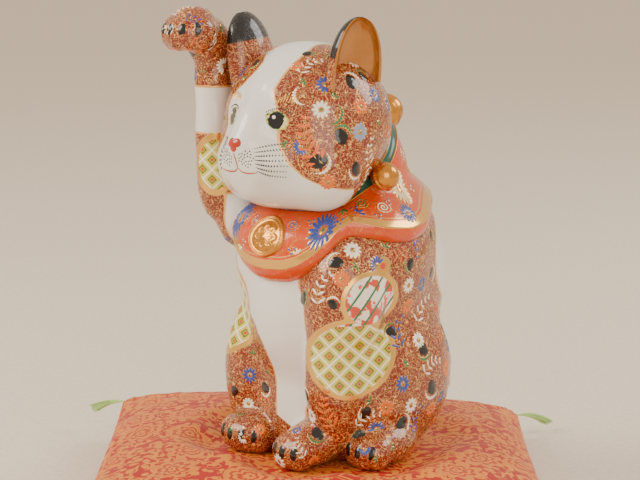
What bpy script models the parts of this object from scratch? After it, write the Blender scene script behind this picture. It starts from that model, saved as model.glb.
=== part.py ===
"""Beckoning cat figurine seated on its square brocade cushion.

The cat is hollow cast porcelain: a body and a head cast in moulds, with the limbs,
ears, tail, bib, ribbon, bells and medallion made apart and luted on before firing.
It stands loose in a dimple of the cushion. The cat faces -Y, its left is +X, and the
cushion is turned about Z under it. The origin is under the cushion's middle.
"""

import math

import bmesh
import bpy
import numpy as np
from mathutils import Matrix, Vector

# ---- Driving dimensions, in metres -------------------------------------------------

CAT_HEIGHT = 0.300  # foot to the top of the raised paw
CUSHION_SIDE = 0.302  # between neighbouring corners of the cushion
CUSHION_TURN = math.radians(40.5)  # the cushion's turn under the cat
CAT_PLACE = (0.0025, 0.0177)  # the cat's axis on the cushion
SEAT_HEIGHT = 0.044  # the cat's foot above the table, sunk into the cushion
SEAM_HEIGHT = 0.025  # the cushion's edge seam above the table
CREST_HEIGHT = 0.058  # top of the cushion round the dimple
CORNER_LIFT = 0.005  # one rear corner is fuller than the other by twice this
DIMPLE_CLEARANCE = 0.0035  # the dimple's floor runs this far out from under the cat
DIMPLE_SLOPE = 0.028  # and rises to the crest over this distance
COVER_THICKNESS = 0.0012
GAP = 0.0003  # clearance between pieces that touch
CUSHION_CELLS = 24
WALL = 0.005  # cast porcelain wall
BELL_RADIUS = 0.0095
NAPE_BELL_RADIUS = 0.012
TASSEL_LENGTH = 0.050
TASSEL_DROOP = 0.013

# The cat's lobes are drawn for a cat 300 units tall.
UNIT = CAT_HEIGHT / 300.0
GAP_U = GAP / UNIT
WALL_U = WALL / UNIT

# ---- The cat's proportions, in units: centre x, y, z and radii x, y, z ----------------

TORSO = [
    (0, 16, 52, 60, 58, 60),  # seat and rump
    (0, 23, 114, 56, 63, 72),  # back
    (0, -18, 100, 46, 50, 64),  # chest
    (0, -12, 36, 46, 43, 46),  # belly
    (0, -8, 14, 57, 46, 26),  # lap
    (0, -3, 142, 56, 66, 38),  # breast and nape under the bib
    (0, -2, 188, 38, 46, 46),  # neck
    (34, -10, 126, 33, 48, 44),  # left shoulder
    (-33, -8, 126, 31, 46, 44),  # right shoulder
    (44, 10, 50, 27, 46, 48),  # left haunch
    (-44, 10, 50, 27, 46, 48),  # right haunch
    (45, -16, 42, 22, 30, 50),  # left folded leg
    (-44, -25, 50, 24, 32, 52),  # right folded leg
]
HEAD = [
    (0, -31, 222, 56, 53, 53),  # skull
    (30, -50, 196, 24, 24, 26),  # left cheek
    (-30, -50, 196, 24, 24, 26),  # right cheek
    (11, -80, 201, 13, 16, 13),  # left muzzle pad
    (-11, -80, 201, 13, 16, 13),  # right muzzle pad
    (0, -94, 213, 6, 6, 5),  # nose
    (0, -78, 220, 12, 16, 18),  # bridge
    (0, -68, 188, 20, 20, 13),  # chin
    (0, -50, 190, 34, 34, 19),  # jaw
]
LEFT_FORELEG = [
    (40, -42, 110, 27, 27, 44),  # upper arm
    (38, -45, 62, 22, 22, 50),  # forearm
    (26, -54, 15, 18, 24, 15),  # paw
    (15, -72, 11, 6.5, 8, 10),  # toes
    (23, -75, 11, 6.5, 8, 10),
    (32, -74, 11, 6.5, 8, 10),
]
RIGHT_HIND_PAW = [
    (-30, -44, 13, 20, 26, 14),  # paw
    (-41, -63, 11, 6.5, 8, 10),  # toes
    (-32, -66, 11, 6.5, 8, 10),
    (-23, -65, 11, 6.5, 8, 10),
    (-15, -61, 11, 6, 8, 10),
]
LEFT_HIND_PAW = [
    (58, -20, 13, 17, 26, 14),  # paw
    (51, -42, 10, 6.5, 7, 9),  # toes
    (60, -44, 10, 6.5, 7, 9),
    (68, -39, 10, 6, 7, 9),
]
RAISED_ARM = [
    (-52, -40, 156, 16, 18, 22),  # upper arm
    (-63, -49, 180, 15, 16, 28),  # elbow
    (-66, -50, 212, 13.5, 14, 36),  # forearm
    (-67, -50, 246, 12.5, 13, 26),  # wrist
    (-68, -54, 273, 13.5, 14, 17),  # back of the paw
    (-68, -68, 283, 16, 15, 14),  # bent paw
    (-81, -74, 279, 6, 8, 9.5),  # toes
    (-75, -80, 279, 6, 8, 9.5),
    (-67, -83, 279, 6, 8, 9.5),
    (-59, -80, 279, 6, 8, 9.5),
    (-53, -73, 280, 5.5, 8, 9),
]
TAIL = [
    (-8, 76, 15, 14, 13, 13),
    (-26, 72, 19, 15, 12, 14),
    (-42, 60, 23, 13, 12, 13),
]
BLEND = 5.0  # how softly the torso's and head's lobes run together
LIMB_BLEND = 2.5  # the same for limbs and toes

# Spines that the skins are drawn out from, in units, and the rays' longest reach
TORSO_SPINE = [(0, 6, 0), (0, 6, 40), (0, 6, 90), (0, 0, 130), (0, -6, 172), (0, -7, 190)]
HEAD_SPINE = [(0, -40, 200), (0, -34, 230)]
LEFT_FORELEG_SPINE = [(40, -40, 132), (40, -42, 105), (37, -45, 60), (30, -50, 24), (24, -68, 12)]
RIGHT_HIND_PAW_SPINE = [(-30, -30, 13), (-29, -58, 12)]
LEFT_HIND_PAW_SPINE = [(58, -6, 13), (59, -36, 12)]
RAISED_ARM_SPINE = [
    (-50, -39, 150),
    (-61, -48, 174),
    (-66, -50, 206),
    (-67, -50, 244),
    (-68, -54, 270),
    (-68, -60, 279),
    (-67, -77, 280),
]
TAIL_SPINE = [(-4, 72, 15), (-24, 70, 19), (-42, 58, 23)]
REACH = 110.0

# Ears: base middle, tip direction, opening direction, half width, height, in units
EARS = {
    "left_ear": ((44, -36, 249), (0.15, -0.09, 1.0), (1.0, -0.1, 0.0)),
    "right_ear": ((-44, -36, 249), (-0.15, -0.09, 1.0), (-1.0, -0.1, 0.0)),
}
EAR_HALF_WIDTH = 22.0
EAR_HEIGHT = 44.0
EAR_WALL = 2.6

# The bib's hem: angle from the front in degrees, height of the hem in units
BIB_HEM = [
    (0, 121),
    (12, 122),
    (20, 125.5),
    (28, 132.5),
    (36, 141),
    (42, 149),
    (50, 153.5),
    (60, 151.5),
    (73, 148),
    (88, 146),
    (103, 147.5),
    (131, 156),
    (155, 161),
    (180, 160),
]
BIB_EDGE_RISE = 7.0  # the outer edge of the hem above the inner one
BIB_NECK_THICKNESS = 2.0
BIB_HEM_THICKNESS = 7.5
RIBBON_THICKNESS = 1.8
RIBBON_LIFT = 0.7  # the ribbon's back above the bib's skin
RIBBON_WIDTH = 5.5  # of the part that shows below the head
RIBBON_FRONT_GAP = math.radians(48)  # the chin hides the ribbon's ends here
BELLS = {  # angle from the front and radius
    "left_bell": (82, BELL_RADIUS),
    "right_bell": (-82, BELL_RADIUS),
    "nape_bell": (180, NAPE_BELL_RADIUS),
}
BIB_FRONT_RADIUS = 70.0  # of the front lobe, about the neck
BIB_FRONT_DEPTH = 42.0  # from neck to hem down the front lobe
MEDALLION_SHARE = 0.46  # how far down the front lobe the medallion sits
MEDALLION_RADIUS = 15.0
MEDALLION_HEIGHT = 1.6
VENT_RADIUS = 12.0
SLAB_THICKNESS = 6.0
SLAB_RISE = 1.5  # the slab sits this far above the foot rim
SLAB_GAP = 1.2
SQUARE = np.radians((45, 135, 225, 315))

# Colours (sRGB hex), roughness and metallic value of each finish
FINISHES = {
    "white_porcelain": ("E9E8E4", 0.12, 0.0),
    "red_overglaze": ("A8431F", 0.2, 0.0),
    "orange_overglaze": ("E2581B", 0.2, 0.0),
    "gilding": ("D9A24A", 0.15, 1.0),
    "green_overglaze": ("1F5A48", 0.2, 0.0),
    "bare_biscuit": ("E6DCCB", 0.8, 0.0),
    "brocade": ("D9602A", 0.7, 0.0),
    "wadding": ("F2EEE4", 0.95, 0.0),
    "tassel_thread": ("A9D46E", 0.8, 0.0),
}


# ---- Shape functions -----------------------------------------------------------------


def field(points, lobes, blend):
    """Rough signed distance to the lobes run softly together: below zero inside."""
    total = np.zeros(len(points))
    for lobe in lobes:
        offset = points - np.array(lobe[:3], float)
        radii = np.array(lobe[3:], float)
        near = np.linalg.norm(offset / radii, axis=1)
        slope = np.linalg.norm(offset / radii**2, axis=1)
        distance = near * (near - 1.0) / np.maximum(slope, 1e-9)
        total += np.exp(-np.clip(distance, -60, 200) / blend)
    return -blend * np.log(np.maximum(total, 1e-30))


def cast_rays(starts, directions, lobes, blend, level):
    """Where rays from inside the lobes first reach the given level, found by halving."""
    inside = np.zeros(len(starts))
    outside = np.full(len(starts), REACH)
    for _ in range(26):
        middle = (inside + outside) / 2
        hit = field(starts + directions * middle[:, None], lobes, blend) > level
        outside = np.where(hit, middle, outside)
        inside = np.where(hit, inside, middle)
    return starts + directions * outside[:, None]


def smooth_path(points, count):
    """The points joined by a smooth curve and read at evenly spaced steps."""
    points = np.array(points, float)
    knots = np.linspace(0, 1, len(points))
    fine = np.linspace(0, 1, 200)
    line = np.stack([np.interp(fine, knots, points[:, k]) for k in range(3)], axis=1)
    kernel = np.hanning(41) / np.hanning(41).sum()
    padded = np.concatenate([np.repeat(line[:1], 20, 0), line, np.repeat(line[-1:], 20, 0)])
    line = np.stack([np.convolve(padded[:, k], kernel, "valid") for k in range(3)], axis=1)
    line[0], line[-1] = points[0], points[-1]
    along = np.concatenate([[0], np.cumsum(np.linalg.norm(np.diff(line, axis=0), axis=1))])
    at = np.linspace(0, along[-1], count)
    return np.stack([np.interp(at, along, line[:, k]) for k in range(3)], axis=1)


def carried_frames(line, first):
    """The tangent and two side directions along a line, carried without twist."""
    tangents = np.gradient(line, axis=0)
    tangents /= np.linalg.norm(tangents, axis=1)[:, None]
    side, sides = np.array(first, float), []
    for tangent in tangents:
        side = side - tangent * (side @ tangent)
        side = side / np.linalg.norm(side)
        sides.append(side)
    sides = np.array(sides)
    return tangents, sides, np.cross(tangents, sides)


def skin_rings(lobes, spine, blend, level, rings, around, dome, level_ends=(True, True)):
    """Rings of points where rays square to a spine meet the lobes' skin, with domed ends."""
    line = smooth_path(spine, rings)
    tangents, sides, others = carried_frames(line, (1, 0, 0.01))
    angles = np.linspace(0, 2 * math.pi, around, endpoint=False)
    tilts = np.linspace(0, math.pi / 2, dome + 2)[1:-1]
    rows = []
    if level_ends[0]:
        rows += [(0, -tilt) for tilt in tilts[::-1]]
    rows += [(i, 0.0) for i in range(rings)]
    if level_ends[1]:
        rows += [(rings - 1, tilt) for tilt in tilts]
    starts, directions = [], []
    for index, tilt in rows:
        flat = np.outer(np.cos(angles), sides[index]) + np.outer(np.sin(angles), others[index])
        starts.append(np.repeat(line[index][None], around, 0))
        directions.append(flat * math.cos(tilt) + tangents[index] * math.sin(tilt))
    hits = cast_rays(np.concatenate(starts), np.concatenate(directions), lobes, blend, level)
    poles = cast_rays(
        line[[0, -1]], np.array([-tangents[0], tangents[-1]]), lobes, blend, level
    )
    return hits.reshape(len(rows), around, 3), poles


def torso_radius_point(angle, height, level):
    """The point of the torso's skin at an angle from the front and a height."""
    angle, height = np.broadcast_arrays(np.asarray(angle, float), np.asarray(height, float))
    spine = np.array(TORSO_SPINE, float)
    middle = np.interp(height, spine[:, 2], spine[:, 1])
    starts = np.stack([np.zeros_like(height), middle, height], axis=-1).reshape(-1, 3)
    directions = np.stack([np.sin(angle), -np.cos(angle), np.zeros_like(angle)], axis=-1)
    hits = cast_rays(starts, directions.reshape(-1, 3), TORSO, BLEND, level)
    return hits.reshape(*height.shape, 3)


def find_neck_line():
    """Angles round the neck and the heights where the head's skin meets the torso's."""
    angles = np.linspace(-math.pi, math.pi, 181)
    low, high = np.full(181, 140.0), np.full(181, 222.0)
    for _ in range(18):
        middle = (low + high) / 2
        buried = field(torso_radius_point(angles, middle, 0.0), HEAD, BLEND) < 0
        high = np.where(buried, middle, high)
        low = np.where(buried, low, middle)
    return angles, high


def neck_height(angle):
    """The height of the neck seam at an angle from the front."""
    turned = (np.asarray(angle) + math.pi) % (2 * math.pi) - math.pi
    return np.interp(turned, *NECK_LINE)


def hem_height(angle):
    """The height of the bib's scalloped hem, the same on both sides of the cat."""
    knots = np.radians([k[0] for k in BIB_HEM])
    heights = np.array([k[1] for k in BIB_HEM], float)
    turned = np.abs((np.asarray(angle) + math.pi) % (2 * math.pi) - math.pi)
    return np.interp(turned, knots, heights)


NECK_LINE = find_neck_line()

# ---- Mesh helpers ----------------------------------------------------------------------


def finish_mesh(bm, name):
    """Welds a bmesh, turns its faces outwards and returns it as a mesh."""
    bmesh.ops.remove_doubles(bm, verts=bm.verts, dist=1e-6)
    bmesh.ops.recalc_face_normals(bm, faces=bm.faces)
    mesh = bpy.data.meshes.new(name)
    bm.to_mesh(mesh)
    bm.free()
    return mesh


def rings_mesh(name, rings, poles=None, flat_ends=(False, False), ring_closed=True):
    """A closed skin through rings of points: a pole or a flat face closes each end."""
    bm = bmesh.new()
    loops = [[bm.verts.new(p) for p in ring] for ring in np.asarray(rings) * UNIT]
    count = len(loops[0])
    last = count if ring_closed else count - 1
    for below, above in zip(loops, loops[1:]):
        for i in range(last):
            j = (i + 1) % count
            bm.faces.new((below[i], below[j], above[j], above[i]))
    for loop, flat, pole in zip((loops[0], loops[-1]), flat_ends, poles if poles is not None else ()):
        if flat:
            bm.faces.new(loop)
        else:
            tip = bm.verts.new(np.asarray(pole) * UNIT)
            for i in range(count):
                bm.faces.new((loop[i], loop[(i + 1) % count], tip))
    return finish_mesh(bm, name)


def tube_ring_mesh(name, sections, closed):
    """A solid swept through closed sections: a full ring, or a band with flat ends."""
    bm = bmesh.new()
    loops = [[bm.verts.new(p) for p in section] for section in np.asarray(sections) * UNIT]
    pairs = list(zip(loops, loops[1:])) + ([(loops[-1], loops[0])] if closed else [])
    count = len(loops[0])
    for below, above in pairs:
        for i in range(count):
            j = (i + 1) % count
            bm.faces.new((below[i], below[j], above[j], above[i]))
    if not closed:
        bm.faces.new(loops[0])
        bm.faces.new(loops[-1])
    return finish_mesh(bm, name)


def finish_material(name):
    """A Principled material in one of the listed finishes."""
    known = bpy.data.materials.get(name)
    if known:
        return known
    colour, roughness, metallic = FINISHES[name]
    channels = [int(colour[i : i + 2], 16) / 255 for i in (0, 2, 4)]
    linear = [c / 12.92 if c <= 0.04045 else ((c + 0.055) / 1.055) ** 2.4 for c in channels]
    material = bpy.data.materials.new(name)
    material.use_nodes = True
    shader = material.node_tree.nodes["Principled BSDF"]
    shader.inputs["Base Color"].default_value = (*linear, 1.0)
    shader.inputs["Roughness"].default_value = roughness
    shader.inputs["Metallic"].default_value = metallic
    return material


def place(name, mesh, finish, parent):
    """Adds a mesh to the scene as a named sub-part on its parent empty."""
    obj = bpy.data.objects.new(name, mesh)
    bpy.context.scene.collection.objects.link(obj)
    obj.parent = parent
    mesh.materials.clear()
    mesh.materials.append(finish_material(finish))
    mesh.shade_smooth()
    mesh.set_sharp_from_angle(angle=math.radians(40))
    return obj


def cutter(name, mesh, parent):
    """Adds a mesh as a hidden cutter for Booleans."""
    obj = bpy.data.objects.new(name, mesh)
    bpy.context.scene.collection.objects.link(obj)
    obj.parent = parent
    obj.display_type = "WIRE"
    obj.hide_render = True
    return obj


def grown(name, obj, amount):
    """A hidden copy of a sub-part pushed out all round, to cut its neighbours clear of it."""
    tool = cutter(name, obj.data.copy(), obj.parent)
    push = tool.modifiers.new("push", "DISPLACE")
    push.strength = amount
    push.mid_level = 0.0
    return tool


def cut(obj, *cutters):
    """Cuts each cutter's space out of an object with an exact Boolean."""
    for tool in cutters:
        modifier = obj.modifiers.new(f"less_{tool.name}", "BOOLEAN")
        modifier.operation = "DIFFERENCE"
        modifier.solver = "EXACT"
        modifier.object = tool
    return obj


# ---- The porcelain cat -----------------------------------------------------------------


def torso_mesh(name, level, rings, around, drop=0.0):
    """The torso's skin at a level; drop carries its flat foot down, for a cutter."""
    rows, poles = skin_rings(TORSO, TORSO_SPINE, BLEND, level, rings, around, 5, (False, True))
    rows[0, :, 2] = -drop
    return rings_mesh(name, rows, (None, poles[1]), (True, False))


def head_mesh(name, level, rings, around, dome):
    """The head's skin at a level."""
    rows, poles = skin_rings(HEAD, HEAD_SPINE, BLEND, level, rings, around, dome)
    return rings_mesh(name, rows, poles, (False, False))


def limb_mesh(name, lobes, spine, level, rings, around, dome=4):
    """A limb's skin at a level, with its underside kept above the foot plane."""
    rows, poles = skin_rings(lobes, spine, LIMB_BLEND, level, rings, around, dome)
    rows[..., 2] = np.maximum(rows[..., 2], -level)
    poles[:, 2] = np.maximum(poles[:, 2], -level)
    return rings_mesh(name, rows, poles, (False, False))


def build_body(cat):
    """Body casting, hollow and open below, and the slab that closes its foot."""
    body = place("body_casting", torso_mesh("body_casting", 0, 26, 40), "white_porcelain", cat)
    hollow = torso_mesh("body_hollow", -WALL_U, 12, 32, drop=10.0)
    cut(body, cutter("body_hollow", hollow, cat))
    slab = torso_mesh("base_slab", -WALL_U - SLAB_GAP, 12, 32, drop=10.0)
    slab = place("base_slab", slab, "bare_biscuit", cat)
    rim = np.stack([REACH * 1.2 * np.cos(SQUARE), REACH * 1.2 * np.sin(SQUARE)], axis=1)
    sides = [
        np.column_stack([rim, np.full(4, height)]) for height in (SLAB_RISE, SLAB_RISE + SLAB_THICKNESS)
    ]
    block = cutter("slab_block", rings_mesh("slab_block", sides, (None, None), (True, True)), cat)
    cut(slab, block).modifiers[-1].operation = "INTERSECT"
    turned = np.linspace(0, 2 * math.pi, 24, endpoint=False)
    hole = np.stack([VENT_RADIUS * np.cos(turned), 8 + VENT_RADIUS * np.sin(turned)], axis=1)
    sides = [
        np.column_stack([hole, np.full(24, height)])
        for height in (SLAB_RISE - 5, SLAB_RISE + SLAB_THICKNESS + 5)
    ]
    cut(slab, cutter("vent", rings_mesh("vent", sides, (None, None), (True, True)), cat))
    return cutter("body_grown", torso_mesh("body_grown", GAP_U, 26, 40, drop=5.0), cat)


def build_head(cat, body_grown):
    """Head casting, a hollow shell open at the neck where the body's crown plugs it."""
    head = place("head_casting", head_mesh("head_casting", 0, 8, 40, 9), "white_porcelain", cat)
    cut(head, body_grown)
    inner = cutter("head_hollow", head_mesh("head_hollow", -WALL_U, 4, 20, 5), cat)
    cut(head, inner)
    return cutter("head_grown", head_mesh("head_grown", GAP_U, 8, 40, 9), cat)


def ear_mesh(name, base, up, facing):
    """A cupped ear: a half cone that narrows to a rounded tip, with a wall's thickness."""
    up = np.array(up, float) / np.linalg.norm(up)
    facing = np.array(facing, float)
    facing = facing - up * (facing @ up)
    facing = facing / np.linalg.norm(facing)
    side = np.cross(facing, up)
    heights = np.linspace(0, 1, 9)
    turns = np.radians(np.linspace(-97, 97, 11))
    sections = []
    for share in heights:
        radius = EAR_HALF_WIDTH * math.sqrt(1 - (0.98 * share) ** 2.6)
        deep = 0.62 * radius
        middle = np.array(base, float) + up * (share * EAR_HEIGHT)
        outer = [
            middle + side * (radius * math.sin(t)) - facing * (deep * math.cos(t)) for t in turns
        ]
        wall = EAR_WALL * (1 - 0.55 * share)
        shrink = max(radius - wall, 0.3) / radius
        inner = [
            middle
            + side * (radius * shrink * math.sin(t))
            - facing * (max(deep - wall, 0.2) * math.cos(t) - 0.2)
            for t in turns[::-1]
        ]
        sections.append(outer + inner)
    return tube_ring_mesh(name, sections, closed=False)


def build_limbs(cat, body_grown, head_grown, bib_grown):
    """Limbs, ears and tail, each luted on to its neighbour with a hair of clearance."""
    foreleg_grown = cutter(
        "left_foreleg_grown",
        limb_mesh("left_foreleg_grown", LEFT_FORELEG, LEFT_FORELEG_SPINE, GAP_U, 18, 20),
        cat,
    )
    leg = limb_mesh("left_foreleg", LEFT_FORELEG, LEFT_FORELEG_SPINE, 0, 18, 20)
    body_wide = grown("body_wide", bpy.data.objects["body_casting"], 2 * GAP)
    cut(place("left_foreleg", leg, "red_overglaze", cat), body_wide, bib_grown)
    for name, lobes, spine in (
        ("left_hind_paw", LEFT_HIND_PAW, LEFT_HIND_PAW_SPINE),
        ("right_hind_paw", RIGHT_HIND_PAW, RIGHT_HIND_PAW_SPINE),
    ):
        paw = place(name, limb_mesh(name, lobes, spine, 0, 8, 18), "red_overglaze", cat)
        cut(paw, body_grown)
        cut(paw, foreleg_grown)
    arm = limb_mesh("raised_arm", RAISED_ARM, RAISED_ARM_SPINE, 0, 22, 18)
    cut(place("raised_arm", arm, "red_overglaze", cat), body_grown, bib_grown, head_grown)
    tail = limb_mesh("tail", TAIL, TAIL_SPINE, 0, 8, 14)
    cut(place("tail", tail, "red_overglaze", cat), body_grown)
    for name, (base, up, facing) in EARS.items():
        ear = place(name, ear_mesh(name, base, up, facing), "gilding", cat)
        cut(ear, head_grown)


def bib_skin(angles, share, proud):
    """Points of the bib's outer skin: share runs from the neck (0) to the hem (1)."""
    top = neck_height(angles) - 1.0
    high = top * (1 - share) + (hem_height(angles) + BIB_EDGE_RISE) * share
    swell = np.clip(share, 0, 1) ** 0.8
    thick = BIB_NECK_THICKNESS + (BIB_HEM_THICKNESS - BIB_NECK_THICKNESS) * swell
    inner = torso_radius_point(angles, high, GAP_U)
    out = np.stack([np.sin(angles), -np.cos(angles), 0.5 + 0 * angles], axis=-1)
    out /= np.linalg.norm(out, axis=-1, keepdims=True)
    return inner + out * (np.asarray(thick) + proud)[..., None]


def ribbon_share(angles, proud):
    """How far down the bib its outer skin comes out from under the head."""
    low = np.zeros(np.shape(angles))
    high = np.full(np.shape(angles), 0.8)
    for _ in range(18):
        middle = (low + high) / 2
        buried = field(bib_skin(angles, middle, proud), HEAD, BLEND) < 0
        low = np.where(buried, middle, low)
        high = np.where(buried, high, middle)
    return high


def bib_sections(around):
    """Closed cross-sections of the bib, from the neck down over the shoulders to the hem."""
    angles = np.linspace(0, 2 * math.pi, around, endpoint=False)
    top = neck_height(angles) - 1.0
    hem = hem_height(angles)
    inner, outer = [], []
    for share in np.linspace(0, 1, 5):
        inner.append(torso_radius_point(angles, top * (1 - share) + hem * share, GAP_U))
        outer.append(bib_skin(angles, share, 0.0))
    rows = np.array(inner + outer[::-1])
    return rows.transpose(1, 0, 2)


def build_collar(cat, body_grown, head_grown):
    """Bib, its medallion, the neck ribbon and the three bells."""
    bib = place("bib", tube_ring_mesh("bib", bib_sections(48), True), "orange_overglaze", cat)
    bib_grown = grown("bib_grown", bib, 3.5 * GAP)
    cut(bib, body_grown, head_grown)
    angles = np.linspace(RIBBON_FRONT_GAP, 2 * math.pi - RIBBON_FRONT_GAP, 49)
    corners = []
    for share_step, proud in ((-1.0, 0.0), (-1.0, 1.0), (1.0, 1.0), (1.0, 0.0)):
        lift = RIBBON_LIFT + RIBBON_THICKNESS * proud
        share = ribbon_share(angles, RIBBON_LIFT) + RIBBON_WIDTH * share_step / BIB_FRONT_DEPTH
        corners.append(bib_skin(angles, share, lift))
    sections = np.stack(corners, axis=1)
    ribbon = tube_ring_mesh("neck_ribbon", sections, closed=False)
    ribbon = place("neck_ribbon", ribbon, "green_overglaze", cat)
    cut(ribbon, head_grown)
    ribbon_grown = grown("ribbon_grown", ribbon, 1.5 * GAP)
    for name, (degrees, radius) in BELLS.items():
        angle = np.array([math.radians(degrees)])
        share = ribbon_share(angle, RIBBON_LIFT) + 0.8 * RIBBON_WIDTH / BIB_FRONT_DEPTH
        lift = RIBBON_LIFT + RIBBON_THICKNESS + 0.94 * radius / UNIT
        centre = bib_skin(angle, share, lift)[0]
        away = np.array([math.sin(angle[0]), -math.cos(angle[0]), 0.4])
        bell = place(name, bell_mesh(name, centre, away, radius / UNIT), "gilding", cat)
        cut(bell, ribbon_grown, head_grown)
    build_medallion(cat, bib_grown)
    return bib_grown


def bell_mesh(name, centre, away, radius):
    """A round bell with a raised band round its middle and a slot cut across its mouth."""
    away = away / np.linalg.norm(away)
    profile = []
    for turn in np.linspace(-math.pi / 2, math.pi / 2, 11)[1:-1]:
        swell = 1.06 if abs(turn) < 0.2 else 1.0
        profile.append((radius * swell * math.cos(turn), radius * math.sin(turn)))
    turns = np.linspace(0, 2 * math.pi, 18, endpoint=False)
    side = np.cross(away, (0, 0, 1))
    side /= np.linalg.norm(side)
    other = np.cross(side, away)
    rings = [
        centre + away * along + np.outer(out * np.cos(turns), side) + np.outer(out * np.sin(turns), other)
        for out, along in profile
    ]
    return rings_mesh(name, rings, (centre - away * radius, centre + away * radius))


def build_medallion(cat, bib_grown):
    """A round gilt medallion luted to the front lobe of the bib."""
    turns = np.linspace(0, 2 * math.pi, 28, endpoint=False)
    rings = []
    for size, proud in ((1.0, -1.5), (1.0, 0.8), (0.93, MEDALLION_HEIGHT), (0.45, MEDALLION_HEIGHT)):
        angles = MEDALLION_RADIUS * size * np.cos(turns) / BIB_FRONT_RADIUS
        share = MEDALLION_SHARE - MEDALLION_RADIUS * size * np.sin(turns) / BIB_FRONT_DEPTH
        rings.append(bib_skin(angles, share, proud))
    middle = bib_skin(np.array([0.0]), np.array([MEDALLION_SHARE]), MEDALLION_HEIGHT)[0]
    mesh = rings_mesh("bib_medallion", rings, (None, middle), (True, False))
    cut(place("bib_medallion", mesh, "gilding", cat), bib_grown)


# ---- The cushion -------------------------------------------------------------------------


def plan_point(u, v):
    """Plan position of a cushion point: a square whose sides pull in between its corners."""
    half = CUSHION_SIDE / 2
    pull = 0.02
    x = half * u * (1 - pull * (1 - v * v) * np.abs(u))
    y = half * v * (1 - pull * (1 - u * u) * np.abs(v))
    return x, y


def fullness(u, v):
    """How full the pillow is: 0 on the seam and 1 in the middle, steep at the edge."""
    return np.clip((1 - u**2) * (1 - v**2), 0, 1) ** 0.38


def footprint_distance(x, y):
    """Distance outside the cat's outline, read a little above its foot, in metres."""
    turn = CUSHION_TURN
    cat_x = (x * math.cos(turn) - y * math.sin(turn) - CAT_PLACE[0]) / UNIT
    cat_y = (x * math.sin(turn) + y * math.cos(turn) - CAT_PLACE[1]) / UNIT
    nearest = np.full(np.shape(x), 1e9)
    rise = (CREST_HEIGHT - SEAT_HEIGHT) / UNIT
    for height in (2.0, rise * 0.5, rise):
        points = np.stack([cat_x, cat_y, np.full(np.shape(x), height)], axis=-1).reshape(-1, 3)
        for lobes in (TORSO, LEFT_FORELEG, LEFT_HIND_PAW, RIGHT_HIND_PAW, TAIL):
            blend = BLEND if lobes is TORSO else LIMB_BLEND
            nearest = np.minimum(nearest, field(points, lobes, blend).reshape(np.shape(x)))
    return nearest * UNIT


def cushion_height(u, v, upper):
    """Height of the pillow's top or underside at a point of its square."""
    full = fullness(u, v)
    seam = SEAM_HEIGHT - CORNER_LIFT * u * (1 + v) / 2
    edge = COVER_THICKNESS + GAP / 2
    if not upper:
        return np.maximum(seam - edge - 0.040 * full, 0.0)
    crest = CREST_HEIGHT - 0.6 * CORNER_LIFT * u * (1 + v) / 2
    pillow = seam + edge + (crest - seam - edge) * full
    away = footprint_distance(*plan_point(u, v))
    share = np.clip((away - DIMPLE_CLEARANCE) / DIMPLE_SLOPE, 0, 1)
    rise = share * share * (3 - 2 * share)
    floor = SEAT_HEIGHT - GAP
    return floor + (pillow - floor) * rise


def cushion_grid(dropped):
    """Square coordinates and plan of the cushion's grid, with some outer rows left out."""
    steps = np.sin(np.linspace(-math.pi / 2, math.pi / 2, CUSHION_CELLS + 1))
    steps = steps[dropped : len(steps) - dropped]
    u, v = np.meshgrid(steps, steps, indexing="ij")
    return u, v, *plan_point(u, v)


def panel_mesh(name, upper):
    """One panel of the cover, a thin closed sheet that follows the pillow's skin."""
    u, v, x, y = cushion_grid(0)
    outer = cushion_height(u, v, upper)
    return slab_between(name, x, y, outer, outer + (-COVER_THICKNESS if upper else COVER_THICKNESS))


def slab_between(name, x, y, first, second):
    """A closed solid between two height grids over the same plan."""
    bm = bmesh.new()
    grids = []
    for height in (first, second):
        points = np.stack([x, y, height], axis=-1)
        grids.append([[bm.verts.new(p) for p in row] for row in points])
    rows, columns = len(grids[0]), len(grids[0][0])
    for grid in grids:
        for i in range(rows - 1):
            for j in range(columns - 1):
                bm.faces.new((grid[i][j], grid[i + 1][j], grid[i + 1][j + 1], grid[i][j + 1]))
    edge = [(i, 0) for i in range(rows)] + [(rows - 1, j) for j in range(1, columns)]
    edge += [(i, columns - 1) for i in range(rows - 2, -1, -1)]
    edge += [(0, j) for j in range(columns - 2, 0, -1)]
    for (i, j), (k, m) in zip(edge, edge[1:] + edge[:1]):
        first_grid, second_grid = grids
        bm.faces.new((first_grid[i][j], first_grid[k][m], second_grid[k][m], second_grid[i][j]))
    return finish_mesh(bm, name)


def build_cushion(cushion):
    """Cover panels, wadding and corner tassels of the cushion."""
    for name, upper in (("cushion_top_panel", True), ("cushion_bottom_panel", False)):
        place(name, panel_mesh(name, upper), "brocade", cushion)
    u, v, x, y = cushion_grid(1)
    thick = COVER_THICKNESS + GAP
    upper = cushion_height(u, v, True) - thick
    lower = cushion_height(u, v, False) + thick
    wadding = slab_between("cushion_wadding", x, y, upper, lower)
    place("cushion_wadding", wadding, "wadding", cushion)
    for index, (sign_x, sign_y) in enumerate(((-1, 1), (1, 1), (1, -1), (-1, -1))):
        build_tassel(cushion, f"corner_tassel_{index + 1}", sign_x, sign_y)


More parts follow.
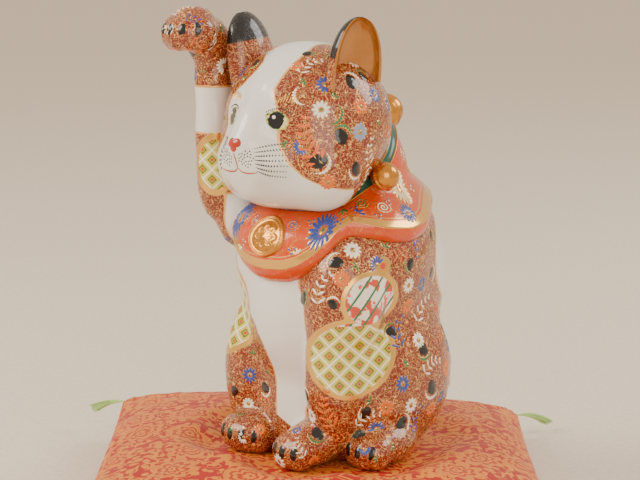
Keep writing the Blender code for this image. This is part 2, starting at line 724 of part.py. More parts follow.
def build_tassel(cushion, name, sign_x, sign_y):
    """A tassel of loose threads drooping from a corner, as one drooping taper."""
    corner = np.array([sign_x, sign_y, 0.0]) * CUSHION_SIDE / 2
    out = np.array([sign_x, sign_y, 0.0]) / math.sqrt(2)
    seam = SEAM_HEIGHT - CORNER_LIFT * sign_x * (1 + sign_y) / 2
    start = corner + out * 0.0006 + np.array([0, 0, seam - COVER_THICKNESS / 2])
    shares = np.linspace(0, 1, 8)
    reach = TASSEL_LENGTH * 0.86
    line = start + np.outer(shares * reach, out)
    line[:, 2] -= TASSEL_DROOP * shares**1.6
    radii = 0.0016 + 0.0036 * shares**0.7
    tangents, sides, others = carried_frames(line, (0, 0, 1))
    turns = np.linspace(0, 2 * math.pi, 10, endpoint=False)
    rings = [
        point + radius * (np.outer(np.cos(turns), side) + np.outer(np.sin(turns), other))
        for point, radius, side, other in zip(line, radii, sides, others)
    ]
    rings = np.array(rings) / UNIT
    mesh = rings_mesh(name, rings, (None, None), (True, True))
    place(name, mesh, "tassel_thread", cushion)


def main():
    """Builds every sub-part on its parent empty."""
    for obj in list(bpy.data.objects):
        bpy.data.objects.remove(obj)
    cat = bpy.data.objects.new("cat_frame", None)
    cushion = bpy.data.objects.new("cushion_frame", None)
    for empty in (cat, cushion):
        bpy.context.scene.collection.objects.link(empty)
    cat.location = Vector((*CAT_PLACE, SEAT_HEIGHT))
    cushion.rotation_euler = Matrix.Rotation(CUSHION_TURN, 3, "Z").to_euler()
    body_grown = build_body(cat)
    head_grown = build_head(cat, body_grown)
    bib_grown = build_collar(cat, body_grown, head_grown)
    build_limbs(cat, body_grown, head_grown, bib_grown)
    build_cushion(cushion)


main()
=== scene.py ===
"""Beckoning cat figurine on its brocade cushion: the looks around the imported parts.

The cat is glazed porcelain painted with overglaze enamels and gilding. Its skin is a
smooth union of ellipsoidal lobes, meshed finely and carried by the cat body; enamel
motifs are small domed dabs that lie on that skin. Lengths named in millimetres are in
the cat's own frame: X to its left, -Y the way it faces, Z up from its foot.
"""

from __future__ import annotations

import logging
import math
from dataclasses import dataclass, field
from enum import Enum
from functools import partial
from typing import Callable, Sequence

import bpy
import numpy as np
from bpy.types import Material, NodeSocket, NodeTree, Object
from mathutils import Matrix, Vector


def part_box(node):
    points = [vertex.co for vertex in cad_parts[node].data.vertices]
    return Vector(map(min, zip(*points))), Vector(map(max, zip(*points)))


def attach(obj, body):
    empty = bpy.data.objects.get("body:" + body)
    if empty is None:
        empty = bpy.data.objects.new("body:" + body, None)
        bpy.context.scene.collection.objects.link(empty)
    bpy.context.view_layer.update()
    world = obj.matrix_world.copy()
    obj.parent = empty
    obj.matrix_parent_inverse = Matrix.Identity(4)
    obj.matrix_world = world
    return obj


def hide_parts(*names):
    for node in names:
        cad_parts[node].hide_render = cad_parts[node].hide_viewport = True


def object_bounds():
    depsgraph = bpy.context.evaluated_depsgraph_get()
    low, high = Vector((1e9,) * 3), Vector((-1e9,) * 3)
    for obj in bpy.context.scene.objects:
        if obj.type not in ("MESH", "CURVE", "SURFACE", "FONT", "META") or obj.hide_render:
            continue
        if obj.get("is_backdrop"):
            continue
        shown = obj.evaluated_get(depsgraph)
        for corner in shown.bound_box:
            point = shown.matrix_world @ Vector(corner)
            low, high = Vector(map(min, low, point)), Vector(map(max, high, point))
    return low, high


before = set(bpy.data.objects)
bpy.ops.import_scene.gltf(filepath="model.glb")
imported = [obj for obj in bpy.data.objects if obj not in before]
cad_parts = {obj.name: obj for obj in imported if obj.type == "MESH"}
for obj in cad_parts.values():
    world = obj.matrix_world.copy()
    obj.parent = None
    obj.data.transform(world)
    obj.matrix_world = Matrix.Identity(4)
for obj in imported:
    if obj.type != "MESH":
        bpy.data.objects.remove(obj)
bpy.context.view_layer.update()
LOG = logging.getLogger("beckoning_cat")
MM = 0.001
NodeValue = NodeSocket | float | tuple | str

# ---- The cat's proportions: centre x, y, z and radii x, y, z of each lobe, in mm ----------

TORSO = [
    (0, 16, 52, 60, 58, 60),  # seat and rump
    (0, 23, 114, 56, 63, 72),  # back
    (0, -18, 100, 46, 50, 64),  # chest
    (0, -12, 36, 46, 43, 46),  # belly
    (0, -8, 14, 57, 46, 26),  # lap
    (0, -3, 142, 56, 66, 38),  # breast and nape under the bib
    (0, -2, 188, 38, 46, 46),  # neck
    (34, -10, 126, 33, 48, 44),  # left shoulder
    (-33, -8, 126, 31, 46, 44),  # right shoulder
    (44, 10, 50, 27, 46, 48),  # left haunch
    (-44, 10, 50, 27, 46, 48),  # right haunch
    (45, -16, 42, 22, 30, 50),  # left folded leg
    (-44, -25, 50, 24, 32, 52),  # right folded leg
]
HEAD = [
    (0, -31, 222, 56, 53, 53),  # skull
    (30, -50, 196, 24, 24, 26),  # left cheek
    (-30, -50, 196, 24, 24, 26),  # right cheek
    (11, -80, 201, 13, 16, 13),  # left muzzle pad
    (-11, -80, 201, 13, 16, 13),  # right muzzle pad
    (0, -94, 213, 6, 6, 5),  # nose
    (0, -78, 220, 12, 16, 18),  # bridge
    (0, -68, 188, 20, 20, 13),  # chin
    (0, -50, 190, 34, 34, 19),  # jaw
]
LEFT_FORELEG = [
    (40, -42, 110, 27, 27, 44),  # upper arm
    (38, -45, 62, 22, 22, 50),  # forearm
    (26, -54, 15, 18, 24, 15),  # paw
    (15, -72, 11, 6.5, 8, 10),  # toes
    (23, -75, 11, 6.5, 8, 10),
    (32, -74, 11, 6.5, 8, 10),
]
RIGHT_HIND_PAW = [
    (-30, -44, 13, 20, 26, 14),  # paw
    (-41, -63, 11, 6.5, 8, 10),  # toes
    (-32, -66, 11, 6.5, 8, 10),
    (-23, -65, 11, 6.5, 8, 10),
    (-15, -61, 11, 6, 8, 10),
]
LEFT_HIND_PAW = [
    (58, -20, 13, 17, 26, 14),  # paw
    (51, -42, 10, 6.5, 7, 9),  # toes
    (60, -44, 10, 6.5, 7, 9),
    (68, -39, 10, 6, 7, 9),
]
RAISED_ARM = [
    (-52, -40, 156, 16, 18, 22),  # upper arm
    (-63, -49, 180, 15, 16, 28),  # elbow
    (-66, -50, 212, 13.5, 14, 36),  # forearm
    (-67, -50, 246, 12.5, 13, 26),  # wrist
    (-68, -54, 273, 13.5, 14, 17),  # back of the paw
    (-68, -68, 283, 16, 15, 14),  # bent paw
    (-81, -74, 279, 6, 8, 9.5),  # toes
    (-75, -80, 279, 6, 8, 9.5),
    (-67, -83, 279, 6, 8, 9.5),
    (-59, -80, 279, 6, 8, 9.5),
    (-53, -73, 280, 5.5, 8, 9),
]
TAIL = [(-8, 76, 15, 14, 13, 13), (-26, 72, 19, 15, 12, 14), (-42, 60, 23, 13, 12, 13)]
BODY_AXIS = [(0, 6), (40, 6), (90, 6), (130, 0), (172, -6), (190, -7)]  # height, y
HEAD_AXIS_Y = -34.0
REACH = 110.0
BIB_HEM = [  # degrees from the front, height of the hem
    (0, 121),
    (12, 122),
    (20, 125.5),
    (28, 132.5),
    (36, 141),
    (42, 149),
    (50, 153.5),
    (60, 151.5),
    (73, 148),
    (88, 146),
    (103, 147.5),
    (131, 156),
    (155, 161),
    (180, 160),
]
ZONE_GAP = 0.3  # clearance of the bib from the body


# ---- Colour and node helpers ---------------------------------------------------------------


def linear(colour: str) -> tuple[float, float, float, float]:
    """An sRGB hex colour as linear RGBA."""
    channels = [int(colour[i : i + 2], 16) / 255 for i in (0, 2, 4)]
    return (*[c / 12.92 if c <= 0.04045 else ((c + 0.055) / 1.055) ** 2.4 for c in channels], 1.0)


class Hue(Enum):
    """The enamel colours on the cat, as sRGB hex."""

    WHITE = "F3EEDF"
    CREAM = "F0D9A4"
    BLUE = "2F479A"
    SKY = "8C9CC0"
    ORANGE = "E2661C"
    RED = "B02A12"
    GREEN = "15704A"
    BLACK = "0C0C10"
    GOLD = "D8A043"
    LIME = "C3C24A"
    LASH = "2A1D18"


def add_node(tree: NodeTree, kind: str, links: dict | None = None, **settings) -> bpy.types.Node:
    """Adds a shader node with its settings, and links or sets its inputs.

    Args:
        tree: The node tree that the node goes into.
        kind: The node's type name.
        links: Input name or number to an output socket, a number, or a colour as hex.
        settings: Attributes set on the node itself.

    Returns:
        The new node.
    """
    node = tree.nodes.new(kind)
    for name, value in settings.items():
        setattr(node, name, value)
    for name, value in (links or {}).items():
        value = linear(value) if isinstance(value, str) else value
        if isinstance(value, NodeSocket):
            tree.links.new(value, node.inputs[name])
        else:
            node.inputs[name].default_value = value
    return node


def new_material(name: str) -> tuple[Material, NodeTree, bpy.types.Node]:
    """A new node material with its tree and its Principled shader.

    Args:
        name: Its name.

    Returns:
        The material, its tree and its shader.
    """
    material = bpy.data.materials.new(name)
    material.use_nodes = True
    tree = material.node_tree
    return material, tree, tree.nodes["Principled BSDF"]


# A value node's type, what its choice is called, where its values go, and the output it gives
VALUE_NODES = {
    "RGBA": ("ShaderNodeMix", "data_type", (0, 6, 7), 2),
    "SMOOTHSTEP": ("ShaderNodeMapRange", "interpolation_type", (0, 1, 2), 0),
    "OWN": ("ShaderNodeAttribute", "attribute_name", (), "Fac"),
    "MATHS": ("ShaderNodeMath", "operation", (0, 1, 2), 0),
}


def value_node(tree: NodeTree, choice: str, *values: NodeValue) -> NodeSocket:
    """Adds a node that works out one value, by way of add_node.

    Args:
        tree: The node tree that the node goes into.
        choice: "RGBA" mixes two colours, "SMOOTHSTEP" steps softly from 0 to 1, other
            capitals are a Math operation, and a lower-case name is the piece's own attribute.
        values: Its inputs in order: sockets, numbers or colours.

    Returns:
        The output socket.
    """
    key = "OWN" if choice.islower() else choice if choice in VALUE_NODES else "MATHS"
    kind, setting, places, output = VALUE_NODES[key]
    return add_node(tree, kind, dict(zip(places, values)), **{setting: choice}).outputs[output]


# ---- Mesh helpers --------------------------------------------------------------------------


def make_piece(
    name: str,
    points: np.ndarray,
    faces: np.ndarray | Sequence[Sequence[int]],
    material: Material,
    body: str,
    values: dict[str, np.ndarray] | None = None,
    smooth: bool = True,
) -> Object:
    """Makes a mesh piece from world points in metres, dresses it and puts it on a body.

    Args:
        name: The piece's name.
        points: N x 3 world points.
        faces: Vertex numbers of each face.
        material: Its material.
        body: The CAD body that it rides on.
        values: Float attributes (N) or colours (N x 4) by name.
        smooth: Whether its faces are shaded smooth.

    Returns:
        The new object, at the origin.
    """
    mesh = bpy.data.meshes.new(name)
    mesh.from_pydata(points, [], faces if isinstance(faces, list) else faces.tolist())
    mesh.materials.append(material)
    for key, value in (values or {}).items():
        if value.ndim == 2:
            layer = mesh.color_attributes.new(key, "FLOAT_COLOR", "POINT")
            layer.data.foreach_set("color", value.astype(np.float32).ravel())
        else:
            layer = mesh.attributes.new(key, "FLOAT", "POINT")
            layer.data.foreach_set("value", value.astype(np.float32))
    mesh.update()
    if smooth:
        mesh.shade_smooth()
    piece = bpy.data.objects.new(name, mesh)
    bpy.context.scene.collection.objects.link(piece)
    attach(piece, body)
    LOG.info("%s: %d points", name, len(points))
    return piece


def grid_faces(
    rows: int, columns: int, wrap_rows: bool = False, wrap_columns: bool = False, start: int = 0
) -> np.ndarray:
    """Quads of a grid of points numbered row by row, with either way closed on request.

    Args:
        rows: Rows of points.
        columns: Points in a row.
        wrap_rows: Whether the last row meets the first.
        wrap_columns: Whether each row closes.
        start: The first point number.

    Returns:
        Quads as point numbers.
    """
    i = np.arange(rows if wrap_rows else rows - 1)
    j = np.arange(columns if wrap_columns else columns - 1)
    i, j = (a.ravel() for a in np.meshgrid(i, j, indexing="ij"))
    k, m = (i + 1) % rows, (j + 1) % columns
    quads = np.stack([i * columns + j, k * columns + j, k * columns + m, i * columns + m], axis=1)
    return quads + start


# ---- The lobed skin ------------------------------------------------------------------------


@dataclass(frozen=True)
class Skin:
    """A smooth union of groups of lobes, with its value, slope and projection.

    The value is about the distance outside the skin in mm: near * (near - 1) / slope for
    one ellipsoid, and -blend * log(sum(exp(-value / blend))) for several.
    """

    groups: tuple[tuple[tuple, float], ...]
    merge: float = 1.5
    foot: bool = True
    margin: float = 14.0

    def value(self, points: np.ndarray) -> np.ndarray:
        """The skin's value at each point, in mm.

        Args:
            points: N x 3 points in the cat's mm.

        Returns:
            Values in mm.
        """
        total = np.full(len(points), math.exp(-self.margin / self.merge))
        for lobes, blend in self.groups:
            table = np.array(lobes, float)
            low = (table[:, :3] - table[:, 3:]).min(0) - self.margin
            high = (table[:, :3] + table[:, 3:]).max(0) + self.margin
            near_group = ((points > low) & (points < high)).all(1)
            close, part = points[near_group], np.zeros(near_group.sum())
            for lobe in table:
                scaled = (close - lobe[:3]) / lobe[3:]
                near = np.sqrt((scaled**2).sum(1))
                slope = np.sqrt(((scaled / lobe[3:]) ** 2).sum(1))
                part += np.exp(-np.clip(near * (near - 1) / np.maximum(slope, 1e-9), -60, 200) / blend)
            part = -blend * np.log(np.maximum(part, 1e-30))
            total[near_group] += np.exp(-np.clip(part, -60, 200) / self.merge)
        value = -self.merge * np.log(total)
        return np.maximum(value, -points[:, 2]) if self.foot else value

    def slope(self, points: np.ndarray, step: float = 0.2) -> np.ndarray:
        """The gradient of the value, by central differences."""
        shifts = np.eye(3) * step
        return np.stack([(self.value(points + s) - self.value(points - s)) / (2 * step) for s in shifts], axis=1)

    def settle(self, points: np.ndarray, times: int = 3) -> tuple[np.ndarray, np.ndarray]:
        """Moves points on to the skin by Newton steps and gives the unit normals there.

        Args:
            points: N x 3 points in the cat's mm.
            times: How many steps.

        Returns:
            The moved points and their unit normals.
        """
        for _ in range(times):
            slope = self.slope(points)
            size = np.maximum((slope**2).sum(1), 0.05)
            points = points - slope * np.clip(self.value(points) / size, -4, 4)[:, None]
        slope = self.slope(points)
        return points, slope / np.maximum(np.linalg.norm(slope, axis=1), 1e-6)[:, None]

    def hit(self, starts: np.ndarray, directions: np.ndarray, level: float = 0.0) -> np.ndarray:
        """Where rays from inside reach a level of the value, by halving.

        Args:
            starts: Where the rays start, inside.
            directions: Unit directions.
            level: The value to reach, in mm.

        Returns:
            The points reached.
        """
        inside, outside = np.zeros(len(starts)), np.full(len(starts), REACH)
        for _ in range(22):
            middle = (inside + outside) / 2
            past = self.value(starts + directions * middle[:, None]) > level
            outside, inside = np.where(past, middle, outside), np.where(past, inside, middle)
        return starts + directions * outside[:, None]

    def mesh(self, low: Sequence[float], high: Sequence[float], step: float) -> tuple[np.ndarray, np.ndarray]:
        """Meshes the skin inside a box by surface nets.

        Each grid cell that the skin passes through gets one point, the mean of the skin's
        crossings of its edges, and each crossed grid edge gets one quad.

        Args:
            low: Lowest corner of the box, in mm.
            high: Highest corner.
            step: Cell size.

        Returns:
            The points on the skin and the quads, facing out.
        """
        axes = [np.arange(a, b + step, step) for a, b in zip(low, high)]
        shape = tuple(len(a) for a in axes)
        lattice = np.stack(np.meshgrid(*axes, indexing="ij"), axis=-1).reshape(-1, 3)
        value = np.concatenate([self.value(part) for part in np.array_split(lattice, 24)]).reshape(shape)
        corners = [(i, j, k) for i in (0, 1) for j in (0, 1) for k in (0, 1)]
        size = [n - 1 for n in shape]
        stack = np.stack([value[i : i + size[0], j : j + size[1], k : k + size[2]] for i, j, k in corners])
        active = (stack < 0).any(0) & (stack >= 0).any(0)
        cells = np.argwhere(active)
        at = stack[:, active]
        total, count = np.zeros((len(cells), 3)), np.zeros(len(cells))
        for a, first in enumerate(corners):
            for b, second in enumerate(corners):
                if b <= a or sum(abs(p - q) for p, q in zip(first, second)) != 1:
                    continue
                crossed = (at[a] < 0) != (at[b] < 0)
                share = np.where(crossed, at[a] / np.where(crossed, at[a] - at[b], 1), 0)
                place = np.array(first) + share[:, None] * (np.array(second) - np.array(first))
                total += place * crossed[:, None]
                count += crossed
        points = np.array(low) + (cells + total / count[:, None]) * step
        number = np.full(size, -1)
        number[active] = np.arange(len(cells))
        quads = []
        for axis in range(3):
            others = [a for a in range(3) if a != axis]
            front = [slice(None)] * 3
            back = [slice(None)] * 3
            front[axis], back[axis] = slice(0, -1), slice(1, None)
            crossed = (value[tuple(front)] < 0) != (value[tuple(back)] < 0)
            where = np.argwhere(crossed)
            keep = (where[:, others] > 0).all(1) & (where[:, others] < np.array(size)[others]).all(1)
            where = where[keep]
            leaves = value[tuple(where.T)] < 0
            ring = []
            for da, db in ((1, 1), (0, 1), (0, 0), (1, 0)):
                cell = where.copy()
                cell[:, others[0]] -= da
                cell[:, others[1]] -= db
                ring.append(number[tuple(cell.T)])
            quad = np.stack(ring, axis=1)
            flip = leaves if axis != 1 else ~leaves
            quads.append(np.where(flip[:, None], quad, quad[:, ::-1]))
        points, _ = self.settle(points, 2)
        return points, np.concatenate(quads)


TORSO_SKIN = Skin(((tuple(TORSO), 5.0),), foot=False)
HEAD_SKIN = Skin(((tuple(HEAD), 5.0),), foot=False)
BODY_SKIN = Skin(
    (
        (tuple(TORSO), 5.0),
        (tuple(LEFT_FORELEG), 2.5),
        (tuple(RIGHT_HIND_PAW), 2.5),
        (tuple(LEFT_HIND_PAW), 2.5),
        (tuple(RAISED_ARM), 2.5),
        (tuple(TAIL), 2.5),
    )
)


def cat_origin() -> np.ndarray:
    """The middle of the cat's foot in the world, in metres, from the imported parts.

    Returns:
        The point, in metres.
    """
    left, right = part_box("left_ear"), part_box("right_ear")
    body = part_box("body_casting")
    ear_y = sum(c.y for c in (*left, *right)) / 4
    return np.array([(left[0].x + right[1].x) / 2, ear_y + EAR_BACK * MM, body[0].z])


EAR_BACK = 36.5  # the ears' middle is this far in front of the cat's axis


def to_world(points: np.ndarray) -> np.ndarray:
    """Points in the cat's mm as world metres."""
    return points * MM + ORIGIN


ORIGIN = cat_origin()


# ---- Finishes ------------------------------------------------------------------------------


@dataclass(frozen=True)
class PaintedPorcelain:
    """Glazed white porcelain painted in overglaze enamel, with fine gold scrollwork.

    The glaze is thick and glassy, so white areas are smooth under a sharp gloss; the
    red ground is a thin iron enamel crossed by hair-fine gold lines and raised gold dots.
    """

    name: str = "painted_porcelain"
    white: str = "E4E4DF"
    ground: str = "8C1A04"
    shade: str = "641204"
    gold: str = "F0B868"
    dot_pitch: float = 1.5  # mm; the real dots are under 1 mm apart, drawn coarser to show
    scroll: float = 3.0  # mm between scrolls

    def material(self) -> Material:
        """The node material; it reads the piece's red, panel and motif attributes."""
        material, tree, shader = new_material(self.name)
        work = partial(value_node, tree)
        place = add_node(tree, "ShaderNodeTexCoord").outputs["Object"]
        red = work("SMOOTHSTEP", work("red"), -0.25, 0.25)
        swirl = add_node(
            tree, "ShaderNodeTexNoise",
            {"Vector": place, "Scale": 1000 / self.scroll, "Detail": 0.6, "Distortion": 0.9}
        ).outputs["Fac"]
        line = work("ABSOLUTE", work("SUBTRACT", swirl, 0.5))
        line = work("SMOOTHSTEP", line, 0.034, 0.012)
        far = add_node(
            tree, "ShaderNodeTexNoise",
            {"Vector": place, "Scale": 1700 / self.scroll, "Detail": 0.0, "Distortion": 0.7}
        ).outputs["Fac"]
        second = work("SMOOTHSTEP", work("ABSOLUTE", work("SUBTRACT", far, 0.46)), 0.03, 0.01)
        dots = add_node(
            tree, "ShaderNodeTexVoronoi", {"Vector": place, "Scale": 1000 / self.dot_pitch, "Randomness": 0.7}
        )
        dot = work("SMOOTHSTEP", dots.outputs["Distance"], 0.36, 0.2)
        gilt = work("MAXIMUM", work("MAXIMUM", line, work("MULTIPLY", second, 0.35)), work("MULTIPLY", dot, 0.5))
        edge = work("SMOOTHSTEP", work("ABSOLUTE", work("SUBTRACT", work("red"), 0.5)), 0.9, 0.5)
        gilt = work("MAXIMUM", work("MULTIPLY", gilt, red), work("MULTIPLY", edge, 0.9))
        cloud = add_node(tree, "ShaderNodeTexNoise", {"Vector": place, "Scale": 60.0, "Detail": 3.0}).outputs["Fac"]
        ground = work("RGBA", cloud, self.ground, self.shade)
        base = work("RGBA", red, self.white, ground)
        base = work("RGBA", gilt, base, self.gold)
        base, gilt, border = self.panels(tree, place, base, gilt)
        tree.links.new(base, shader.inputs["Base Color"])
        shine = work("ADD", work("MULTIPLY", gilt, 0.3), work("MULTIPLY", border, 0.65))
        tree.links.new(shine, shader.inputs["Metallic"])
        rough = work("ADD", 0.12, work("MULTIPLY", gilt, 0.16))
        tree.links.new(rough, shader.inputs["Roughness"])
        shader.inputs["Coat Weight"].default_value = 0.35
        shader.inputs["Coat Roughness"].default_value = 0.05
        bump = add_node(tree, "ShaderNodeBump", {"Height": gilt, "Strength": 0.35, "Distance": 0.0003})
        tree.links.new(bump.outputs["Normal"], shader.inputs["Normal"])
        return material

    def panels(
        self, tree: NodeTree, place: NodeSocket, base: NodeSocket,
        gilt: NodeSocket
    ) -> tuple[NodeSocket, NodeSocket, NodeSocket]:
        """Lays the gourd, flank and arm panels over the ground: lattice, gold border.

        Args:
            tree: The node tree.
            place: The position socket.
            base: The ground colour.
            gilt: How gilded the ground is.

        Returns:
            The colour, the gilding and the border.
        """
        work = partial(value_node, tree)
        panel = work("panel")
        upper = work("upper")
        across, up = work("panel_u"), work("panel_v")
        inside = work("SMOOTHSTEP", panel, 0.3, -0.3)
        border = work("MULTIPLY", inside, work("SMOOTHSTEP", panel, -3.4, -2.9))
        pitch = 13.0
        rising = work("DIVIDE", work("ADD", across, up), pitch)
        falling = work("DIVIDE", work("SUBTRACT", across, up), pitch)
        cell_a = work("ABSOLUTE", work("SUBTRACT", work("FRACT", rising), 0.5))
        cell_b = work("ABSOLUTE", work("SUBTRACT", work("FRACT", falling), 0.5))
        furthest = work("MAXIMUM", cell_a, cell_b)
        strap = work("SMOOTHSTEP", furthest, 0.43, 0.45)
        lace = work("SMOOTHSTEP", work("ABSOLUTE", work("SUBTRACT", furthest, 0.36)), 0.03, 0.015)
        square = work("SMOOTHSTEP", work("ABSOLUTE", work("SUBTRACT", furthest, 0.2)), 0.045, 0.025)
        bead = work("SMOOTHSTEP", furthest, 0.13, 0.09)
        lattice = work("RGBA", strap, "C6BE2E", "F8F6E4")
        lattice = work("RGBA", lace, lattice, "E2D985")
        lattice = work("RGBA", square, lattice, "0E4A26")
        lattice = work("RGBA", bead, lattice, "D23A12")
        blobs = add_node(tree, "ShaderNodeTexNoise", {"Vector": place, "Scale": 120.0, "Detail": 1.0}).outputs["Fac"]
        stipple = add_node(tree, "ShaderNodeTexVoronoi", {"Vector": place, "Scale": 600.0}).outputs["Distance"]
        patch = work("SMOOTHSTEP", work("ADD", blobs, work("MULTIPLY", stipple, 0.12)), 0.5, 0.56)
        top = work("RGBA", patch, "D2442A", "F3EADB")
        slant = work("DIVIDE", work("SUBTRACT", work("MULTIPLY", up, 0.75), across), 9.0)
        band = work("SMOOTHSTEP", work("ABSOLUTE", work("SUBTRACT", work("FRACT", slant), 0.5)), 0.12, 0.07)
        top = work("RGBA", band, top, "1C7048")
        fill = work("RGBA", work("SMOOTHSTEP", upper, -0.2, 0.2), lattice, top)
        base = work("RGBA", inside, base, fill)
        base = work("RGBA", border, base, "E8B45C")
        gilt = work("MULTIPLY", gilt, work("SUBTRACT", 1.0, inside))
        return base, work("MAXIMUM", gilt, border), border


@dataclass(frozen=True)
class EnamelDabs:
    """Raised overglaze enamel: small glassy domes of colour, some of them gilded."""

    name: str = "raised_enamel"

    def material(self) -> Material:
        """The node material; it reads each dab's colour and whether it is gilt."""
        material, tree, shader = new_material(self.name)
        work = partial(value_node, tree)
        colour = add_node(tree, "ShaderNodeAttribute", attribute_name="enamel").outputs["Color"]
        place = add_node(tree, "ShaderNodeTexCoord").outputs["Object"]
        cloud = add_node(tree, "ShaderNodeTexNoise", {"Vector": place, "Scale": 400.0, "Detail": 2.0}).outputs["Fac"]
        shade = work("ADD", 0.86, work("MULTIPLY", cloud, 0.28))
        toned = add_node(tree, "ShaderNodeVectorMath", {0: colour, "Scale": shade}, operation="SCALE")
        tree.links.new(toned.outputs[0], shader.inputs["Base Color"])
        tree.links.new(work("gilt"), shader.inputs["Metallic"])
        shader.inputs["Roughness"].default_value = 0.16
        shader.inputs["Coat Weight"].default_value = 0.4
        shader.inputs["Coat Roughness"].default_value = 0.06
        return material


@dataclass(frozen=True)
class Gilding:
    """Burnished bright gold over glaze, with faint wear and brush streaks."""

    name: str = "burnished_gold"
    colour: str = "DFA24A"
    worn: str = "B9742C"

    def material(self) -> Material:
        """The node material."""
        material, tree, shader = new_material(self.name)
        work = partial(value_node, tree)
        place = add_node(tree, "ShaderNodeTexCoord").outputs["Object"]
        streak = add_node(tree, "ShaderNodeTexNoise", {"Vector": place, "Scale": 140.0, "Detail": 4.0}).outputs["Fac"]
        tree.links.new(work("RGBA", streak, self.colour, self.worn), shader.inputs["Base Color"])
        shader.inputs["Metallic"].default_value = 0.9
        rough = work("ADD", 0.14, work("MULTIPLY", streak, 0.14))
        tree.links.new(rough, shader.inputs["Roughness"])
        return material


@dataclass(frozen=True)
class OrangeEnamel:
    """The bib's orange enamel with gold scroll lines and a gold rim along its hem."""

    name: str = "orange_bib_enamel"

    def material(self) -> Material:
        """The node material; it reads the bib's distance from its hem."""
        material, tree, shader = new_material(self.name)
        work = partial(value_node, tree)
        place = add_node(tree, "ShaderNodeTexCoord").outputs["Object"]
        rim = work("SMOOTHSTEP", work("rim"), 6.2, 5.9)
        piping = work("SMOOTHSTEP", work("ABSOLUTE", work("SUBTRACT", work("rim"), 8.0)), 0.6, 0.3)
        swirl = add_node(
            tree, "ShaderNodeTexNoise", {"Vector": place, "Scale": 150.0, "Detail": 0.5, "Distortion": 1.6}
        ).outputs["Fac"]
        line = work("SMOOTHSTEP", work("ABSOLUTE", work("SUBTRACT", swirl, 0.5)), 0.02, 0.008)
        cloud = add_node(tree, "ShaderNodeTexNoise", {"Vector": place, "Scale": 50.0, "Detail": 3.0}).outputs["Fac"]
        base = work("RGBA", cloud, "E04A08", "C43604")
        gilt = work("MAXIMUM", work("MAXIMUM", rim, piping), work("MULTIPLY", line, 0.8))
        tree.links.new(work("RGBA", gilt, base, "E3AE58"), shader.inputs["Base Color"])
        tree.links.new(work("MULTIPLY", gilt, 0.8), shader.inputs["Metallic"])
        shader.inputs["Roughness"].default_value = 0.18
        shader.inputs["Coat Weight"].default_value = 0.3
        bump = add_node(tree, "ShaderNodeBump", {"Height": gilt, "Strength": 0.4, "Distance": 0.0004})
        tree.links.new(bump.outputs["Normal"], shader.inputs["Normal"])
        return material


@dataclass(frozen=True)
class PlainGlaze:
    """One enamel or biscuit colour with a soft mottle, for small and hidden pieces."""

    name: str
    colour: str
    roughness: float

    def material(self) -> Material:
        """The node material."""
        material, tree, shader = new_material(self.name)
        work = partial(value_node, tree)
        place = add_node(tree, "ShaderNodeTexCoord").outputs["Object"]
        cloud = add_node(tree, "ShaderNodeTexNoise", {"Vector": place, "Scale": 220.0, "Detail": 4.0}).outputs["Fac"]
        red, green, blue, _ = linear(self.colour)
        dark = (red * 0.72, green * 0.72, blue * 0.72, 1.0)
        tree.links.new(work("RGBA", cloud, self.colour, dark), shader.inputs["Base Color"])
        shader.inputs["Roughness"].default_value = self.roughness
        return material


